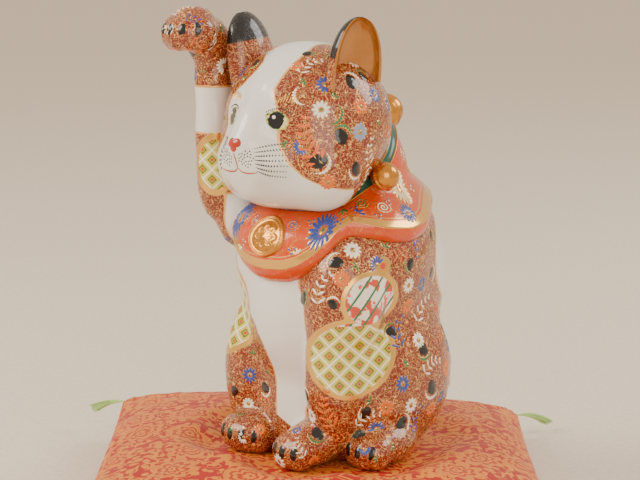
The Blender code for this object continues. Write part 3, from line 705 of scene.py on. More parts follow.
@dataclass(frozen=True)
class SilkBrocade:
    """Woven silk damask: golden peonies and scrolls floated on a red satin ground.

    Satin gives the ground a soft sheen; the gold weft floats stand a little proud.
    """

    name: str = "silk_brocade"
    bloom: float = 46.0  # mm between peonies
    thread: float = 0.9  # mm; the real weft is finer, drawn coarser to show

    def material(self) -> Material:
        """The node material, on the cloth's own flat coordinates in metres."""
        material, tree, shader = new_material(self.name)
        work = partial(value_node, tree)
        flat = add_node(tree, "ShaderNodeUVMap", uv_map="cloth").outputs["UV"]
        wave = add_node(tree, "ShaderNodeTexNoise", {"Vector": flat, "Scale": 60.0, "Detail": 1.0})
        shift = add_node(tree, "ShaderNodeVectorMath", {0: wave.outputs["Color"], "Scale": 0.010}, operation="SCALE")
        bent = add_node(tree, "ShaderNodeVectorMath", {0: flat, 1: shift.outputs[0]}, operation="ADD").outputs[0]
        cells = add_node(
            tree,
            "ShaderNodeTexVoronoi",
            {"Vector": bent, "Scale": 1000 / self.bloom, "Randomness": 0.45},
            voronoi_dimensions="2D",
        )
        away = add_node(
            tree, "ShaderNodeVectorMath", {0: bent, 1: cells.outputs["Position"]}, operation="SUBTRACT"
        ).outputs[0]
        parts = add_node(tree, "ShaderNodeSeparateXYZ", {0: away})
        angle = work("ARCTAN2", parts.outputs[1], parts.outputs[0])
        radius = work("MULTIPLY", cells.outputs["Distance"], self.bloom)
        petals = work("ABSOLUTE", work("SINE", work("MULTIPLY", angle, 4.0)))
        reach = work("ADD", 11.0, work("MULTIPLY", petals, 4.5))
        inner = work("DIVIDE", radius, reach)
        rings = work("FRACT", work("MULTIPLY", inner, 3.0))
        drawn = work("SMOOTHSTEP", work("ABSOLUTE", work("SUBTRACT", rings, 0.5)), 0.2, 0.3)
        flower = work(
            "MULTIPLY",
            work("SMOOTHSTEP", inner, 1.03, 0.98),
            work("SUBTRACT", 1.0, work("MULTIPLY", drawn, 0.9)),
        )
        rim = work("SMOOTHSTEP", work("ABSOLUTE", work("SUBTRACT", inner, 1.0)), 0.09, 0.05)
        swirl = add_node(
            tree, "ShaderNodeTexNoise", {"Vector": bent, "Scale": 75.0, "Detail": 0.8, "Distortion": 1.6}
        ).outputs["Fac"]
        scroll = work("SMOOTHSTEP", work("ABSOLUTE", work("SUBTRACT", swirl, 0.5)), 0.05, 0.035)
        scroll = work("MULTIPLY", scroll, work("SMOOTHSTEP", inner, 1.06, 1.15))
        leaf = add_node(
            tree, "ShaderNodeTexVoronoi", {"Vector": bent, "Scale": 120.0, "Randomness": 0.9}, voronoi_dimensions="2D"
        ).outputs["Distance"]
        leaf = work("MULTIPLY", work("SMOOTHSTEP", leaf, 0.3, 0.24), work("SMOOTHSTEP", inner, 1.06, 1.15))
        figure = work("MAXIMUM", work("MAXIMUM", flower, rim), work("MAXIMUM", scroll, leaf))
        twill = work("ADD", *self.axes(tree, flat))
        weave = work("ABSOLUTE", work("SUBTRACT", work("FRACT", work("DIVIDE", twill, self.thread * MM)), 0.5))
        ground = work("RGBA", weave, "B80A02", "940601")
        thread = work("RGBA", weave, "E88C22", "C2660C")
        tree.links.new(work("RGBA", figure, ground, thread), shader.inputs["Base Color"])
        shader.inputs["Roughness"].default_value = 0.52
        shader.inputs["Sheen Weight"].default_value = 0.05
        shader.inputs["Sheen Roughness"].default_value = 0.4
        height = work("ADD", work("MULTIPLY", figure, 0.8), work("MULTIPLY", weave, 0.5))
        bump = add_node(tree, "ShaderNodeBump", {"Height": height, "Strength": 0.4, "Distance": 0.0005})
        tree.links.new(bump.outputs["Normal"], shader.inputs["Normal"])
        return material

    def axes(self, tree: NodeTree, flat: NodeSocket) -> tuple[NodeSocket, ...]:
        """The two flat coordinates of the cloth as numbers."""
        parts = add_node(tree, "ShaderNodeSeparateXYZ", {0: flat})
        return parts.outputs[0], parts.outputs[1]


# ---- Enamel motifs -------------------------------------------------------------------------


class Motif(Enum):
    """The kinds of painted motif."""

    DAISY = "daisy"
    HALF_DAISY = "half daisy"
    FERN = "fern"
    LEAVES = "leaves"
    ARC = "arc"
    PATCH = "black patch"
    SPIRAL = "spiral"


@dataclass(frozen=True)
class Spot:
    """One motif: its kind, colour, angle from the front, height, size and turn."""

    kind: Motif
    hue: Hue
    angle: float
    height: float
    size: float = 6.0
    turn: float = 0.0


def dab(u: float, v: float, length: float, width: float, turn: float, hue: Hue, lift: float = 0.0) -> list[float]:
    """One dab as numbers: place, half length, half width, turn, lift, gilt and colour."""
    return [u, v, length, width, turn, lift, float(hue is Hue.GOLD) * 0.9, *linear(hue.value)[:3]]


def daisy(hue: Hue, size: float, petals: int = 11, share: float = 1.0) -> list[list[float]]:
    """Petals fanned round a gold heart with a green bead, each over a longer gold one.

    Args:
        hue: The enamel colour.
        size: About half its width, in mm.
        petals: How many petals.
        share: The part taken, from 0 to 1.

    Returns:
        Dab rows.
    """
    rows = []
    for i in range(petals):
        turn = math.tau * share * (i + 0.5) / petals
        u, v = size * 0.6 * math.cos(turn), size * 0.6 * math.sin(turn)
        width = size * 0.9 * math.tau * share / petals * 0.5
        rows.append(dab(u, v, size * 0.42, width * 0.98, turn, Hue.GOLD, 0.02))
        rows.append(dab(u, v, size * 0.36, width * 0.78, turn, hue, 0.14))
    rows.append(dab(0, 0, size * 0.22, size * 0.22, 0, Hue.GOLD, 0.2))
    rows.append(dab(0, 0, size * 0.13, size * 0.13, 0, Hue.GREEN, 0.3))
    return rows


def fern(hue: Hue, size: float) -> list[list[float]]:
    """Paired leaflets along a bowed stem: the stem is a quarter of a wide arc.

    Args:
        hue: The enamel colour.
        size: About half its width, in mm.

    Returns:
        Dab rows.
    """
    rows, pairs = [], max(5, int(size / 1.9))
    for i in range(pairs):
        share = i / (pairs - 1)
        bend = 0.9 * (share - 0.5)
        u, v = size * (share - 0.5) * 1.9, size * 0.32 * (1 - 4 * (share - 0.5) ** 2)
        reach = size * 0.34 * (1 - 0.62 * share)
        for side in (1, -1):
            turn = -bend + side * 1.0
            rows.append(
                dab(
                    u + reach * math.cos(turn), v + reach * math.sin(turn), reach * 0.9, size * 0.075, turn, hue, 0.12
                )
            )
        rows.append(dab(u, v, size * 0.16, size * 0.03, -bend, Hue.GOLD, 0.16))
    return rows


def leaves(hue: Hue, size: float) -> list[list[float]]:
    """Three pointed leaves from one root, each on a gold one.

    Args:
        hue: The enamel colour.
        size: About half its width, in mm.

    Returns:
        Dab rows.
    """
    rows = []
    for turn in (-0.9, 0.0, 0.9):
        u, v = size * 0.5 * math.cos(turn), size * 0.5 * math.sin(turn)
        rows.append(dab(u, v, size * 0.55, size * 0.26, turn, Hue.GOLD, 0.02))
        rows.append(dab(u, v, size * 0.45, size * 0.18, turn, hue, 0.16))
    return rows


def arc(hue: Hue, size: float, span: float = 2.4) -> list[list[float]]:
    """A crescent of overlapping dabs, thick in its middle.

    Args:
        hue: The enamel colour.
        size: About half its width, in mm.
        span: How far it bows, in radians.

    Returns:
        Dab rows.
    """
    rows = []
    for i in range(9):
        share = i / 8 - 0.5
        turn = share * span
        u, v = size * math.cos(turn), size * math.sin(turn)
        thick = size * 0.2 * (1 - 3.0 * share * share)
        rows.append(dab(u, v, size * span / 12, thick * 1.4, turn + math.pi / 2, Hue.GOLD, 0.02))
        rows.append(dab(u, v, size * span / 14, thick, turn + math.pi / 2, hue, 0.14))
    return rows


def patch(hue: Hue, size: float) -> list[list[float]]:
    """A black cloud of three rounds in a gold line, with a crescent beside it.

    Args:
        hue: The enamel colour.
        size: About half its width, in mm.

    Returns:
        Dab rows.
    """
    rows = []
    for grow, colour, lift in ((1.0, Hue.GOLD, 0.02), (0.92, Hue.BLACK, 0.12)):
        for u, v, r in ((0.0, 0.0, 0.8), (-0.3, -0.15, 0.62), (0.25, 0.3, 0.6)):
            rows.append(dab(u * size, v * size, r * size * grow, r * size * grow, 0, colour, lift))
    return rows + arc(hue, size * 1.15)


def spiral(hue: Hue, size: float) -> list[list[float]]:
    """A coil of colour edged in gold: its radius grows evenly with the turn.

    Args:
        hue: The enamel colour.
        size: About half its width, in mm.

    Returns:
        Dab rows.
    """
    rows = []
    for i in range(26):
        turn = i * 0.5
        reach = size * (0.1 + 0.032 * i)
        u, v = reach * math.cos(turn), reach * math.sin(turn)
        rows.append(dab(u, v, size * 0.24, size * 0.13, turn + 1.6, Hue.GOLD, 0.02))
        rows.append(dab(u, v, size * 0.2, size * 0.075, turn + 1.6, hue, 0.14))
    return rows


def motif_rows(spot: Spot) -> list[list[float]]:
    """The dabs of a spot's motif about its own middle."""
    makers: dict[Motif, Callable[[], list[list[float]]]] = {
        Motif.DAISY: lambda: daisy(spot.hue, spot.size),
        Motif.HALF_DAISY: lambda: daisy(spot.hue, spot.size, 8, 0.55),
        Motif.FERN: lambda: fern(spot.hue, spot.size),
        Motif.LEAVES: lambda: leaves(spot.hue, spot.size),
        Motif.ARC: lambda: arc(spot.hue, spot.size),
        Motif.PATCH: lambda: patch(spot.hue, spot.size),
        Motif.SPIRAL: lambda: spiral(spot.hue, spot.size),
    }
    return makers[spot.kind]()


def dab_outline(rows: np.ndarray, around: int = 10) -> np.ndarray:
    """Flat points and rises of dabs: a middle, a shoulder ring and a rim ring each.

    Args:
        rows: Dabs as rows of numbers.
        around: Points round each ring.

    Returns:
        Dabs x points x (across, along, rise).
    """
    turns = np.linspace(0, math.tau, around, endpoint=False)
    shares = np.concatenate([[0.0], np.full(around, 0.68), np.full(around, 1.0)])
    turns = np.concatenate([[0.0], turns, turns])
    along = rows[:, 2:3] * shares * np.cos(turns)
    beside = rows[:, 3:4] * shares * np.sin(turns)
    cos, sin = np.cos(rows[:, 4:5]), np.sin(rows[:, 4:5])
    u = rows[:, 0:1] + along * cos - beside * sin
    v = rows[:, 1:2] + along * sin + beside * cos
    dome = np.concatenate([[0.22], np.full(around, 0.16), np.full(around, -0.12)])
    return np.stack([u, v, rows[:, 5:6] + dome], axis=-1)


def dab_faces(count: int, around: int = 10) -> list[tuple[int, ...]]:
    """Faces of that many dabs: triangles about each middle and quads to its rim.

    Args:
        count: How many dabs.
        around: Points round each ring.

    Returns:
        Faces as point numbers.
    """
    i = np.arange(around)
    j = (i + 1) % around
    fans = np.stack([0 * i, 1 + i, 1 + j], axis=1)
    skirts = np.stack([1 + i, 1 + around + i, 1 + around + j, 1 + j], axis=1)
    starts = np.arange(count)[:, None, None] * (1 + 2 * around)
    return (fans + starts).reshape(-1, 3).tolist() + (skirts + starts).reshape(-1, 4).tolist()


@dataclass
class Enamels:
    """Collects dabs on a skin and makes them one piece."""

    name: str
    skin: Skin
    rows: list[np.ndarray] = field(default_factory=list)
    anchors: list[np.ndarray] = field(default_factory=list)

    def lay(self, rows: list[list[float]], anchor: np.ndarray, facing: np.ndarray, turn: float = 0.0) -> None:
        """Lays dabs at a point of the skin, turned in the plane there.

        Args:
            rows: The dabs.
            anchor: The point, in mm.
            facing: The direction square to the motif's plane.
            turn: Turn of the motif from upright, in degrees.
        """
        facing = facing / np.linalg.norm(facing)
        across = np.cross((0, 0, 1), facing)
        across = across / max(np.linalg.norm(across), 1e-6)
        up = np.cross(facing, across)
        angle = math.radians(turn)
        first = across * math.cos(angle) + up * math.sin(angle)
        second = -across * math.sin(angle) + up * math.cos(angle)
        table = np.array(rows)
        self.rows.append(table)
        self.anchors.append(np.tile(np.concatenate([anchor, first, second, facing]), (len(table), 1)))

    def build(self, material: Material, body: str) -> Object:
        """Settles every dab's points on the skin and lifts them by their rise.

        Args:
            material: The finish.
            body: The CAD body that it rides on.

        Returns:
            The new piece.
        """
        rows, anchors = np.concatenate(self.rows), np.concatenate(self.anchors)
        flat = dab_outline(rows)
        points = (
            anchors[:, None, 0:3] + flat[..., 0:1] * anchors[:, None, 3:6] + flat[..., 1:2] * anchors[:, None, 6:9]
        )
        per = flat.shape[1]
        points, normals = self.skin.settle(points.reshape(-1, 3))
        points = points + normals * flat[..., 2].reshape(-1, 1)
        colours = np.concatenate([rows[:, 7:10], np.ones((len(rows), 1))], axis=1)
        values = {"enamel": np.repeat(colours, per, 0), "gilt": np.repeat(rows[:, 6], per)}
        return make_piece(self.name, to_world(points), dab_faces(len(rows)), material, body, values)


# ---- The cat -------------------------------------------------------------------------------


def curve_of(table: Sequence[tuple[float, float]], at: np.ndarray) -> np.ndarray:
    """A table of (place, value) pairs read at each place, eased by straight pieces."""
    return np.interp(at, [row[0] for row in table], [row[1] for row in table])


def panel_distance(
    across: np.ndarray, up: np.ndarray, rounds: Sequence[tuple[float, float, float, float]]
) -> np.ndarray:
    """Signed distance in mm to a panel that is several rounds put together."""
    parts = [(np.hypot((across - u) / a, (up - v) / b) - 1) * min(a, b) for u, v, a, b in rounds]
    return np.minimum.reduce(parts)


@dataclass
class PorcelainCat:
    """The cast cat: one skin of torso, limbs and tail, a head with a face, and two ears."""

    body_step: float = 1.5
    head_step: float = 1.2
    # White breast: height against its right and left edges, in mm
    breast_right: tuple = (
        (0, 12), (20, 12), (28, -6), (47, -6), (61, -7), (76, -11), (89, -18), (99, -32), (120, -44), (150, -50)
    )
    breast_left: tuple = ((0, 14), (20, 20), (34, 17), (59, 26), (107, 26), (120, 20), (150, 20))
    # White face: height against its edges
    face_left: tuple = (
        (176, 60),
        (186, 51),
        (189, 44),
        (194, 35),
        (201, 29),
        (217, 21),
        (224, 20),
        (237, 17),
        (247, 11),
        (261, 14),
        (267, 15),
        (276, 14),
    )
    face_right: tuple = (
        (176, -60),
        (195, -50),
        (208, -39),
        (215, -31),
        (223, -26),
        (233, -29),
        (241, -27),
        (249, -17),
        (258, -10),
        (263, -9),
        (268, -15),
        (276, -14),
    )
    gourd: tuple = ((7.6, 76, 29.5, 27.5), (19.5, 114, 19, 18.5), (28, 134, 5, 6))
    flank: tuple = ((17, 93, 36, 34),)
    forearm: tuple = ((-82, 192, 15, 21),)

    def body_paint(self, points: np.ndarray) -> dict[str, np.ndarray]:
        """Where the body is white, red or a panel, as signed distances in mm.

        Args:
            points: N x 3 points in the cat's mm.

        Returns:
            Point values by attribute name.
        """
        x, y, z = points.T
        right, left = curve_of(self.breast_right, z), curve_of(self.breast_left, z)
        breast = np.maximum(np.abs(x - (left + right) / 2) - (left - right) / 2, (y + 30) * 0.8)
        breast = np.maximum(breast, np.where((y < -60) & (x > 4), 26 - z, -30.0))
        breast = np.maximum(breast, z - 172)
        turned = np.degrees(np.arctan2(x, -(y - 6)))
        back = (np.hypot((180 - np.abs(turned)) / 62, (z - 124) / 36) - 1) * 34
        sleeve = np.maximum(np.abs(z - 228) - 15, x + 46)
        red = np.minimum(np.minimum(breast, back), sleeve)
        across, away = 0.755 * x + 0.656 * y, -0.656 * x + 0.755 * y
        mirrored = -0.755 * x + 0.656 * y
        gourd = np.where(away < -12, panel_distance(across, z, self.gourd), 30.0)
        flank = np.where((x < -14) & (y > -66), panel_distance(mirrored, z, self.flank), 30.0)
        arm = np.where(x < -44, panel_distance(across, z, self.forearm), 30.0)
        panel = np.minimum(np.minimum(gourd, flank), arm)
        upper = np.where(gourd < 12, z - 98.5, -10.0)
        lateral = np.where(x < 0, np.where(arm < flank, across, mirrored), across)
        return {"red": red, "panel": panel, "upper": upper, "panel_u": lateral, "panel_v": z}

    def head_paint(self, points: np.ndarray) -> dict[str, np.ndarray]:
        """Where the head is white or red, as a signed distance in mm.

        Args:
            points: N x 3 points in the cat's mm.

        Returns:
            Point values by attribute name.
        """
        x, y, z = points.T
        left, right = curve_of(self.face_left, z), curve_of(self.face_right, z)
        face = np.abs(x - (left + right) / 2) - (left - right) / 2
        crown = np.abs(x) - 12 + np.clip(y + 20, 0, 40) * 0.6
        behind = np.clip((y + 46) / 8, 0, 1)
        red = face * (1 - behind) + np.where(z > 240, crown, 20) * behind
        far = np.full(len(points), 30.0)
        return {"red": red, "panel": far, "upper": -far, "panel_u": x, "panel_v": z}

    def build(self, glaze: Material) -> None:
        """Makes the body and the head.

        Args:
            glaze: The painted porcelain.
        """
        points, quads = BODY_SKIN.mesh((-96, -112, -1.5), (84, 94, 301), self.body_step)
        body = make_piece("porcelain_body", to_world(points), quads, glaze, "cat", self.body_paint(points))
        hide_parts("body_casting", "left_foreleg", "left_hind_paw", "right_hind_paw", "raised_arm", "tail")
        points, quads = HEAD_SKIN.mesh((-60, -106, 164), (60, 26, 279), self.head_step)
        head = make_piece("porcelain_head", to_world(points), quads, glaze, "cat", self.head_paint(points))
        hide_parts("head_casting")


@dataclass
class Ears:
    """Two cupped ears: half cones that narrow to a rounded tip."""

    half_width: float = 22.0
    height: float = 44.0
    wall: float = 2.6
    rows: int = 44
    around: int = 40

    def section(self, base: tuple, up: tuple, facing: tuple) -> np.ndarray:
        """Points of an ear: up its height, and round its outer and then its inner wall.

        At each height the outer wall is the back half of an ellipse whose width falls as
        sqrt(1 - share ** 2.6); the inner wall is the same, drawn in by the wall.

        Args:
            base: The lowest point.
            up: The way up.
            facing: The way it faces.

        Returns:
            A grid of points in mm.
        """
        up_way = np.array(up, float) / np.linalg.norm(up)
        front = np.array(facing, float)
        front = front - up_way * (front @ up_way)
        front = front / np.linalg.norm(front)
        side = np.cross(front, up_way)
        share = np.linspace(0, 1, self.rows) ** 0.8
        radius = self.half_width * np.sqrt(1 - (0.985 * share) ** 2.6)
        wall = self.wall * (1 - 0.55 * share)
        turns = np.radians(np.linspace(-97, 97, self.around))
        lip = np.linspace(0, math.pi, 7)[1:-1]
        middle = np.array(base, float) + np.outer(share * self.height, up_way)
        outer = self.wall_points(middle, side, front, radius, 0.62 * radius, turns, 0.0)
        shrunk = np.maximum(radius - wall, 0.2)
        inner = self.wall_points(middle, side, front, shrunk, np.maximum(0.62 * radius - wall, 0.1), turns[::-1], 0.2)
        near, far = outer[:, -1:], inner[:, :1]
        blend = (1 - np.cos(lip)) / 2
        first = near + (far - near) * blend[None, :, None] + front * (np.sin(lip) * 0.9)[None, :, None]
        near, far = inner[:, -1:], outer[:, :1]
        second = near + (far - near) * blend[None, :, None] + front * (np.sin(lip) * 0.9)[None, :, None]
        return np.concatenate([outer, first, inner, second], axis=1)

    def wall_points(
        self,
        middle: np.ndarray,
        side: np.ndarray,
        front: np.ndarray,
        radius: np.ndarray,
        deep: np.ndarray,
        turns: np.ndarray,
        shift: float,
    ) -> np.ndarray:
        """One wall of the ear: middle + side * r * sin(turn) - front * depth * cos(turn)."""
        return (
            middle[:, None]
            + side * (radius[:, None] * np.sin(turns))[..., None]
            - front * ((deep[:, None] * np.cos(turns)) - shift)[..., None]
        )

    def build(self, glaze: Material, gold: Material) -> None:
        """Makes both ears, painted outside and gilt inside."""
        for name, x, mirror in (("left_ear", 44.0, 1.0), ("right_ear", -44.0, -1.0)):
            grid = self.section((x, -36.0, 249.0), (0.15 * mirror, -0.09, 1.0), (mirror, -0.1, 0.0))
            rows, columns = grid.shape[:2]
            flat = grid.reshape(-1, 3)
            tip = grid[-1].mean(0)
            points = np.concatenate([flat, tip[None]])
            quads = grid_faces(rows, columns, False, True).tolist()
            last = (rows - 1) * columns
            quads += [[last + i, last + (i + 1) % columns, len(flat)] for i in range(columns)]
            column = np.tile(np.arange(columns), rows)
            inside = (column >= self.around) & (column < columns - 1)
            height = np.repeat(np.linspace(0, 1, rows), columns)
            red = np.concatenate([np.where(inside, -6.0, 6.0), [6.0]])
            black = np.concatenate([height * 44 - (17 if mirror > 0 else 22), [20.0]])
            far = np.full(len(points), 30.0)
            values = {
                "red": red,
                "panel": far,
                "upper": -far,
                "panel_u": far,
                "panel_v": far,
                "ear_black": np.where(red > 0, black, -5.0),
                "ear_gold": np.concatenate([np.where(inside, 5.0, -5.0), [0.0]]),
            }
            piece = make_piece(f"painted_{name}", to_world(points), quads, glaze, "cat", values)
            turn_out(piece)
            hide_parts(name)


def turn_out(piece: Object) -> None:
    """Turns a closed piece's faces outwards, by the sign of its volume.

    Args:
        piece: The piece.
    """
    mesh = piece.data
    mesh.calc_loop_triangles()
    corners = np.empty(len(mesh.loop_triangles) * 3, int)
    mesh.loop_triangles.foreach_get("vertices", corners)
    points = np.empty(len(mesh.vertices) * 3)
    mesh.vertices.foreach_get("co", points)
    a, b, c = (points.reshape(-1, 3)[corners.reshape(-1, 3)[:, k]] for k in range(3))
    if (a * np.cross(b, c)).sum() < 0:
        mesh.flip_normals()


@dataclass(frozen=True)
class EarGlaze:
    """Ear enamel: black tip and gilt rim over the red ground outside, old gold inside."""

    name: str = "ear_enamel"

    def material(self) -> Material:
        """The painted porcelain, with its ear attributes laid over it."""
        material = PaintedPorcelain(name=self.name).material()
        tree = material.node_tree
        shader = tree.nodes["Principled BSDF"]
        under = shader.inputs["Base Color"].links[0].from_socket
        work = partial(value_node, tree)
        black = work("SMOOTHSTEP", work("ear_black"), -0.6, 0.6)
        gold = work("SMOOTHSTEP", work("ear_gold"), -1.5, 1.5)
        place = add_node(tree, "ShaderNodeTexCoord").outputs["Object"]
        cloud = add_node(tree, "ShaderNodeTexNoise", {"Vector": place, "Scale": 90.0, "Detail": 3.0}).outputs["Fac"]
        inner = work("RGBA", cloud, "C98A3C", "9A5A1E")
        base = work("RGBA", black, under, "0E0E12")
        tree.links.new(work("RGBA", gold, base, inner), shader.inputs["Base Color"])
        rim = work("SMOOTHSTEP", work("ABSOLUTE", work("ear_gold")), 3.5, 1.5)
        tree.links.new(work("MAXIMUM", work("MULTIPLY", gold, 0.35), rim), shader.inputs["Metallic"])
        return material


@dataclass
class Face:
    """Eyes, nose, mouth, whiskers and muzzle dots, as enamel on the head; the white dot in each eye is a painted
    highlight.
    """

    enamels: Enamels
    eye: tuple = (19.0, 229.0)
    nose: tuple = (0.0, -100.0, 214.0)

    def place(self, x: float, z: float) -> np.ndarray:
        """The point of the head's skin straight in front at an x and a height."""
        start = np.array([[x, -60.0, z]])
        return HEAD_SKIN.hit(start, np.array([[0.0, -1.0, 0.0]]))[0]

    def line(self, points: Sequence[tuple[float, float]], width: float, hue: Hue, lift: float = 0.1) -> None:
        """A brushed line through points (x, height) that thins to its ends.

        Args:
            points: N x 3 points in the cat's mm.
            width: Half width at the middle, in mm.
            hue: The enamel colour.
            lift: Height over the skin, in mm.
        """
        table = np.array(points, float)
        along = np.linspace(0, 1, 14)
        knots = np.linspace(0, 1, len(table))
        xs, zs = np.interp(along, knots, table[:, 0]), np.interp(along, knots, table[:, 1])
        for i in range(13):
            x, z = (xs[i] + xs[i + 1]) / 2, (zs[i] + zs[i + 1]) / 2
            reach = math.hypot(xs[i + 1] - xs[i], zs[i + 1] - zs[i])
            turn = math.atan2(zs[i + 1] - zs[i], xs[i + 1] - xs[i])
            thin = width * (1 - 0.7 * (2 * along[i] - 1) ** 2)
            self.enamels.lay(
                [dab(0, 0, reach * 0.75, thin, turn, hue, lift)], self.place(x, z), np.array([0, -1.0, 0])
            )

    def build(self) -> None:
        """Lays the whole face, the same on both sides."""
        for side in (1, -1):
            x, z = self.eye
            facing = np.array([0.5 * side, -1.0, 0.1])
            tilt = -0.3 * side
            middle = self.place(x * side, z)
            rows = [
                dab(0, 0.2, 8.8, 6.9, tilt, Hue.BLACK, 0.02),
                dab(0, 0, 8.1, 6.2, tilt, Hue.LIME, 0.12),
                dab(0, 0, 7.5, 5.7, tilt, Hue.CREAM, 0.18),
                dab(-0.4 * side, 0.1, 6.2, 5.8, 0, Hue.GREEN, 0.26),
                dab(-0.4 * side, 0.1, 5.7, 5.5, 0, Hue.BLACK, 0.36),
                # painted highlight: a white dot on each pupil stands for the glaze's reflection of the light
                dab(-2.0, 2.0, 1.2, 1.2, 0, Hue.WHITE, 0.75),
            ]
            self.enamels.lay(rows, middle, facing)
            lashes = [dab(-7 + i * 1.2, 7.9 - 0.07 * (i - 6) ** 2, 0.6, 0.42, 1.3, Hue.BLACK, 0.1) for i in range(13)]
            self.enamels.lay(lashes, middle, facing)
            brow = [
                dab(-6 + i * 1.9, 12 + 2.0 * math.sin(i * 0.4), 3.4, 0.34, math.pi / 2 - 0.35 * side, Hue.GOLD, 0.1)
                for i in range(8)
            ]
            self.enamels.lay(brow, middle + np.array([4.0 * side, 1.5, 1.0]), facing)
            self.line([(0, 199), (3 * side, 196.5), (8 * side, 196), (15 * side, 197)], 0.7, Hue.RED)
            for row in range(7):
                start, end = 12 + 0.5 * row, 29 - 0.6 * abs(row - 3)
                height = 212 - 2.3 * row
                fall = 3.0 - 1.25 * row
                points = [
                    (start * side, height),
                    ((start + end) / 2 * side, height + 0.7 * fall),
                    (end * side, height + fall),
                ]
                self.line(points, 0.8, Hue.LASH)
            dots = [
                dab(
                    1.15 * math.sqrt(k) * math.cos(k * 2.4),
                    1.15 * math.sqrt(k) * math.sin(k * 2.4),
                    0.55,
                    0.55,
                    0,
                    Hue.LASH,
                    0.1,
                )
                for k in range(1, 26)
            ]
            self.enamels.lay(dots, self.place(8.0 * side, 205.5), np.array([0.2 * side, -1.0, 0.0]))
        nose = [
            dab(-2.3, 1.2, 2.9, 2.6, 0.5, Hue.RED, 0.15),
            dab(2.3, 1.2, 2.9, 2.6, -0.5, Hue.RED, 0.15),
            dab(0, -0.8, 2.6, 3.4, 0, Hue.RED, 0.16),
            dab(0, 0.8, 3.2, 1.8, 0, Hue.RED, 0.2),
        ]
        self.enamels.lay(nose, np.array(self.nose), np.array([0, -1.0, 0.1]))
        self.line([(0, 209), (0, 204), (0, 199)], 0.6, Hue.RED)


K, H = Motif, Hue
BODY_SPOTS = (
    Spot(K.DAISY, H.WHITE, 49, 146, 6.5), Spot(K.DAISY, H.WHITE, 82, 118, 6), Spot(K.DAISY, H.WHITE, 88, 79, 6),
    Spot(K.DAISY, H.WHITE, 78, 38, 6), Spot(K.DAISY, H.WHITE, 24, 35, 5.5), Spot(K.LEAVES, H.GREEN, 68, 145, 5, 60),
    Spot(K.LEAVES, H.GREEN, 50, 137, 4.5, 200), Spot(K.LEAVES, H.GREEN, 74, 66, 5, 40),
    Spot(K.LEAVES, H.GREEN, 54, 45, 5, 160), Spot(K.PATCH, H.WHITE, 40, 139, 5.5, 150),
    Spot(K.PATCH, H.GREEN, 21, 113, 5.5, 20), Spot(K.PATCH, H.WHITE, 37, 113, 4, 90),
    Spot(K.PATCH, H.GREEN, 85, 132, 5, 200), Spot(K.PATCH, H.WHITE, 112, 120, 5, 0),
    Spot(K.PATCH, H.GREEN, 69, 88, 5, 120), Spot(K.PATCH, H.GREEN, 90, 73, 6, 270),
    Spot(K.PATCH, H.WHITE, 95, 46, 6.5, 260), Spot(K.PATCH, H.WHITE, 51, 38, 5, 200),
    Spot(K.PATCH, H.GREEN, 48, 23, 5, 150), Spot(K.PATCH, H.WHITE, 72, 27, 6, 0),
    Spot(K.PATCH, H.WHITE, 21, 48, 4.5, 90),
    Spot(K.PATCH, H.GREEN, 28, 25, 5.5, 250), Spot(K.HALF_DAISY, H.BLUE, 61, 135, 7, 20),
    Spot(K.DAISY, H.BLUE, 72, 54, 6.5), Spot(K.HALF_DAISY, H.BLUE, 57, 26, 6.5, 0), Spot(K.DAISY, H.BLUE, 18, 26, 4),
    Spot(K.DAISY, H.ORANGE, 42, 129, 6), Spot(K.DAISY, H.ORANGE, 83, 103, 6), Spot(K.DAISY, H.ORANGE, 62, 40, 6),
    Spot(K.DAISY, H.ORANGE, 97, 30, 6), Spot(K.FERN, H.ORANGE, 76, 142, 10, 170),
    Spot(K.FERN, H.WHITE, 33, 122, 11, 70),
    Spot(K.FERN, H.BLUE, 75, 87, 11, 75), Spot(K.FERN, H.WHITE, 101, 97, 11, 40),
    Spot(K.FERN, H.WHITE, 96, 60, 10, 15),
    Spot(K.FERN, H.WHITE, 52, 33, 9, 20), Spot(K.FERN, H.BLUE, 84, 26, 10, 80),
    Spot(K.FERN, H.ORANGE, 34, 42, 13, 100),
    Spot(K.DAISY, H.BLUE, -28, 50, 6), Spot(K.LEAVES, H.GREEN, -27, 64, 4.5, 90),
    Spot(K.PATCH, H.WHITE, -18, 43, 5, 300),
    Spot(K.PATCH, H.GREEN, -36, 37, 5, 180), Spot(K.FERN, H.ORANGE, -20, 37, 9, 150),
    Spot(K.DAISY, H.WHITE, -30, 29, 5),
)
HEAD_SPOTS = (
    Spot(K.DAISY, H.BLUE, 58, 251, 6.5), Spot(K.LEAVES, H.GREEN, 42, 253, 4.5, 200),
    Spot(K.ARC, H.WHITE, 41, 245, 6.5, 200),
    Spot(K.DAISY, H.WHITE, 53, 236, 6.5), Spot(K.LEAVES, H.GREEN, 63, 243, 4.5, 60),
    Spot(K.ARC, H.GREEN, 60, 234, 7, 330),
    Spot(K.FERN, H.ORANGE, 47, 217, 15, 110), Spot(K.HALF_DAISY, H.BLUE, 39, 213, 6, 120),
    Spot(K.LEAVES, H.GREEN, 29, 214, 4, 150),
    Spot(K.PATCH, H.WHITE, 50, 204, 6.5, 330), Spot(K.DAISY, H.ORANGE, 56, 191, 5.5),
    Spot(K.FERN, H.WHITE, 48, 262, 9, 40),
    Spot(K.DAISY, H.ORANGE, 33, 262, 4.5), Spot(K.PATCH, H.GREEN, 45, 269, 3.6, 0),
    Spot(K.PATCH, H.WHITE, 82, 252, 6, 40),
    Spot(K.DAISY, H.ORANGE, 83, 237, 6), Spot(K.DAISY, H.BLUE, 101, 243, 6.5), Spot(K.DAISY, H.SKY, 80, 221, 6.5),
    Spot(K.PATCH, H.GREEN, 66, 219, 6, 70), Spot(K.PATCH, H.WHITE, 76, 198, 5.5, 250),
    Spot(K.FERN, H.WHITE, 92, 207, 9, 100),
)


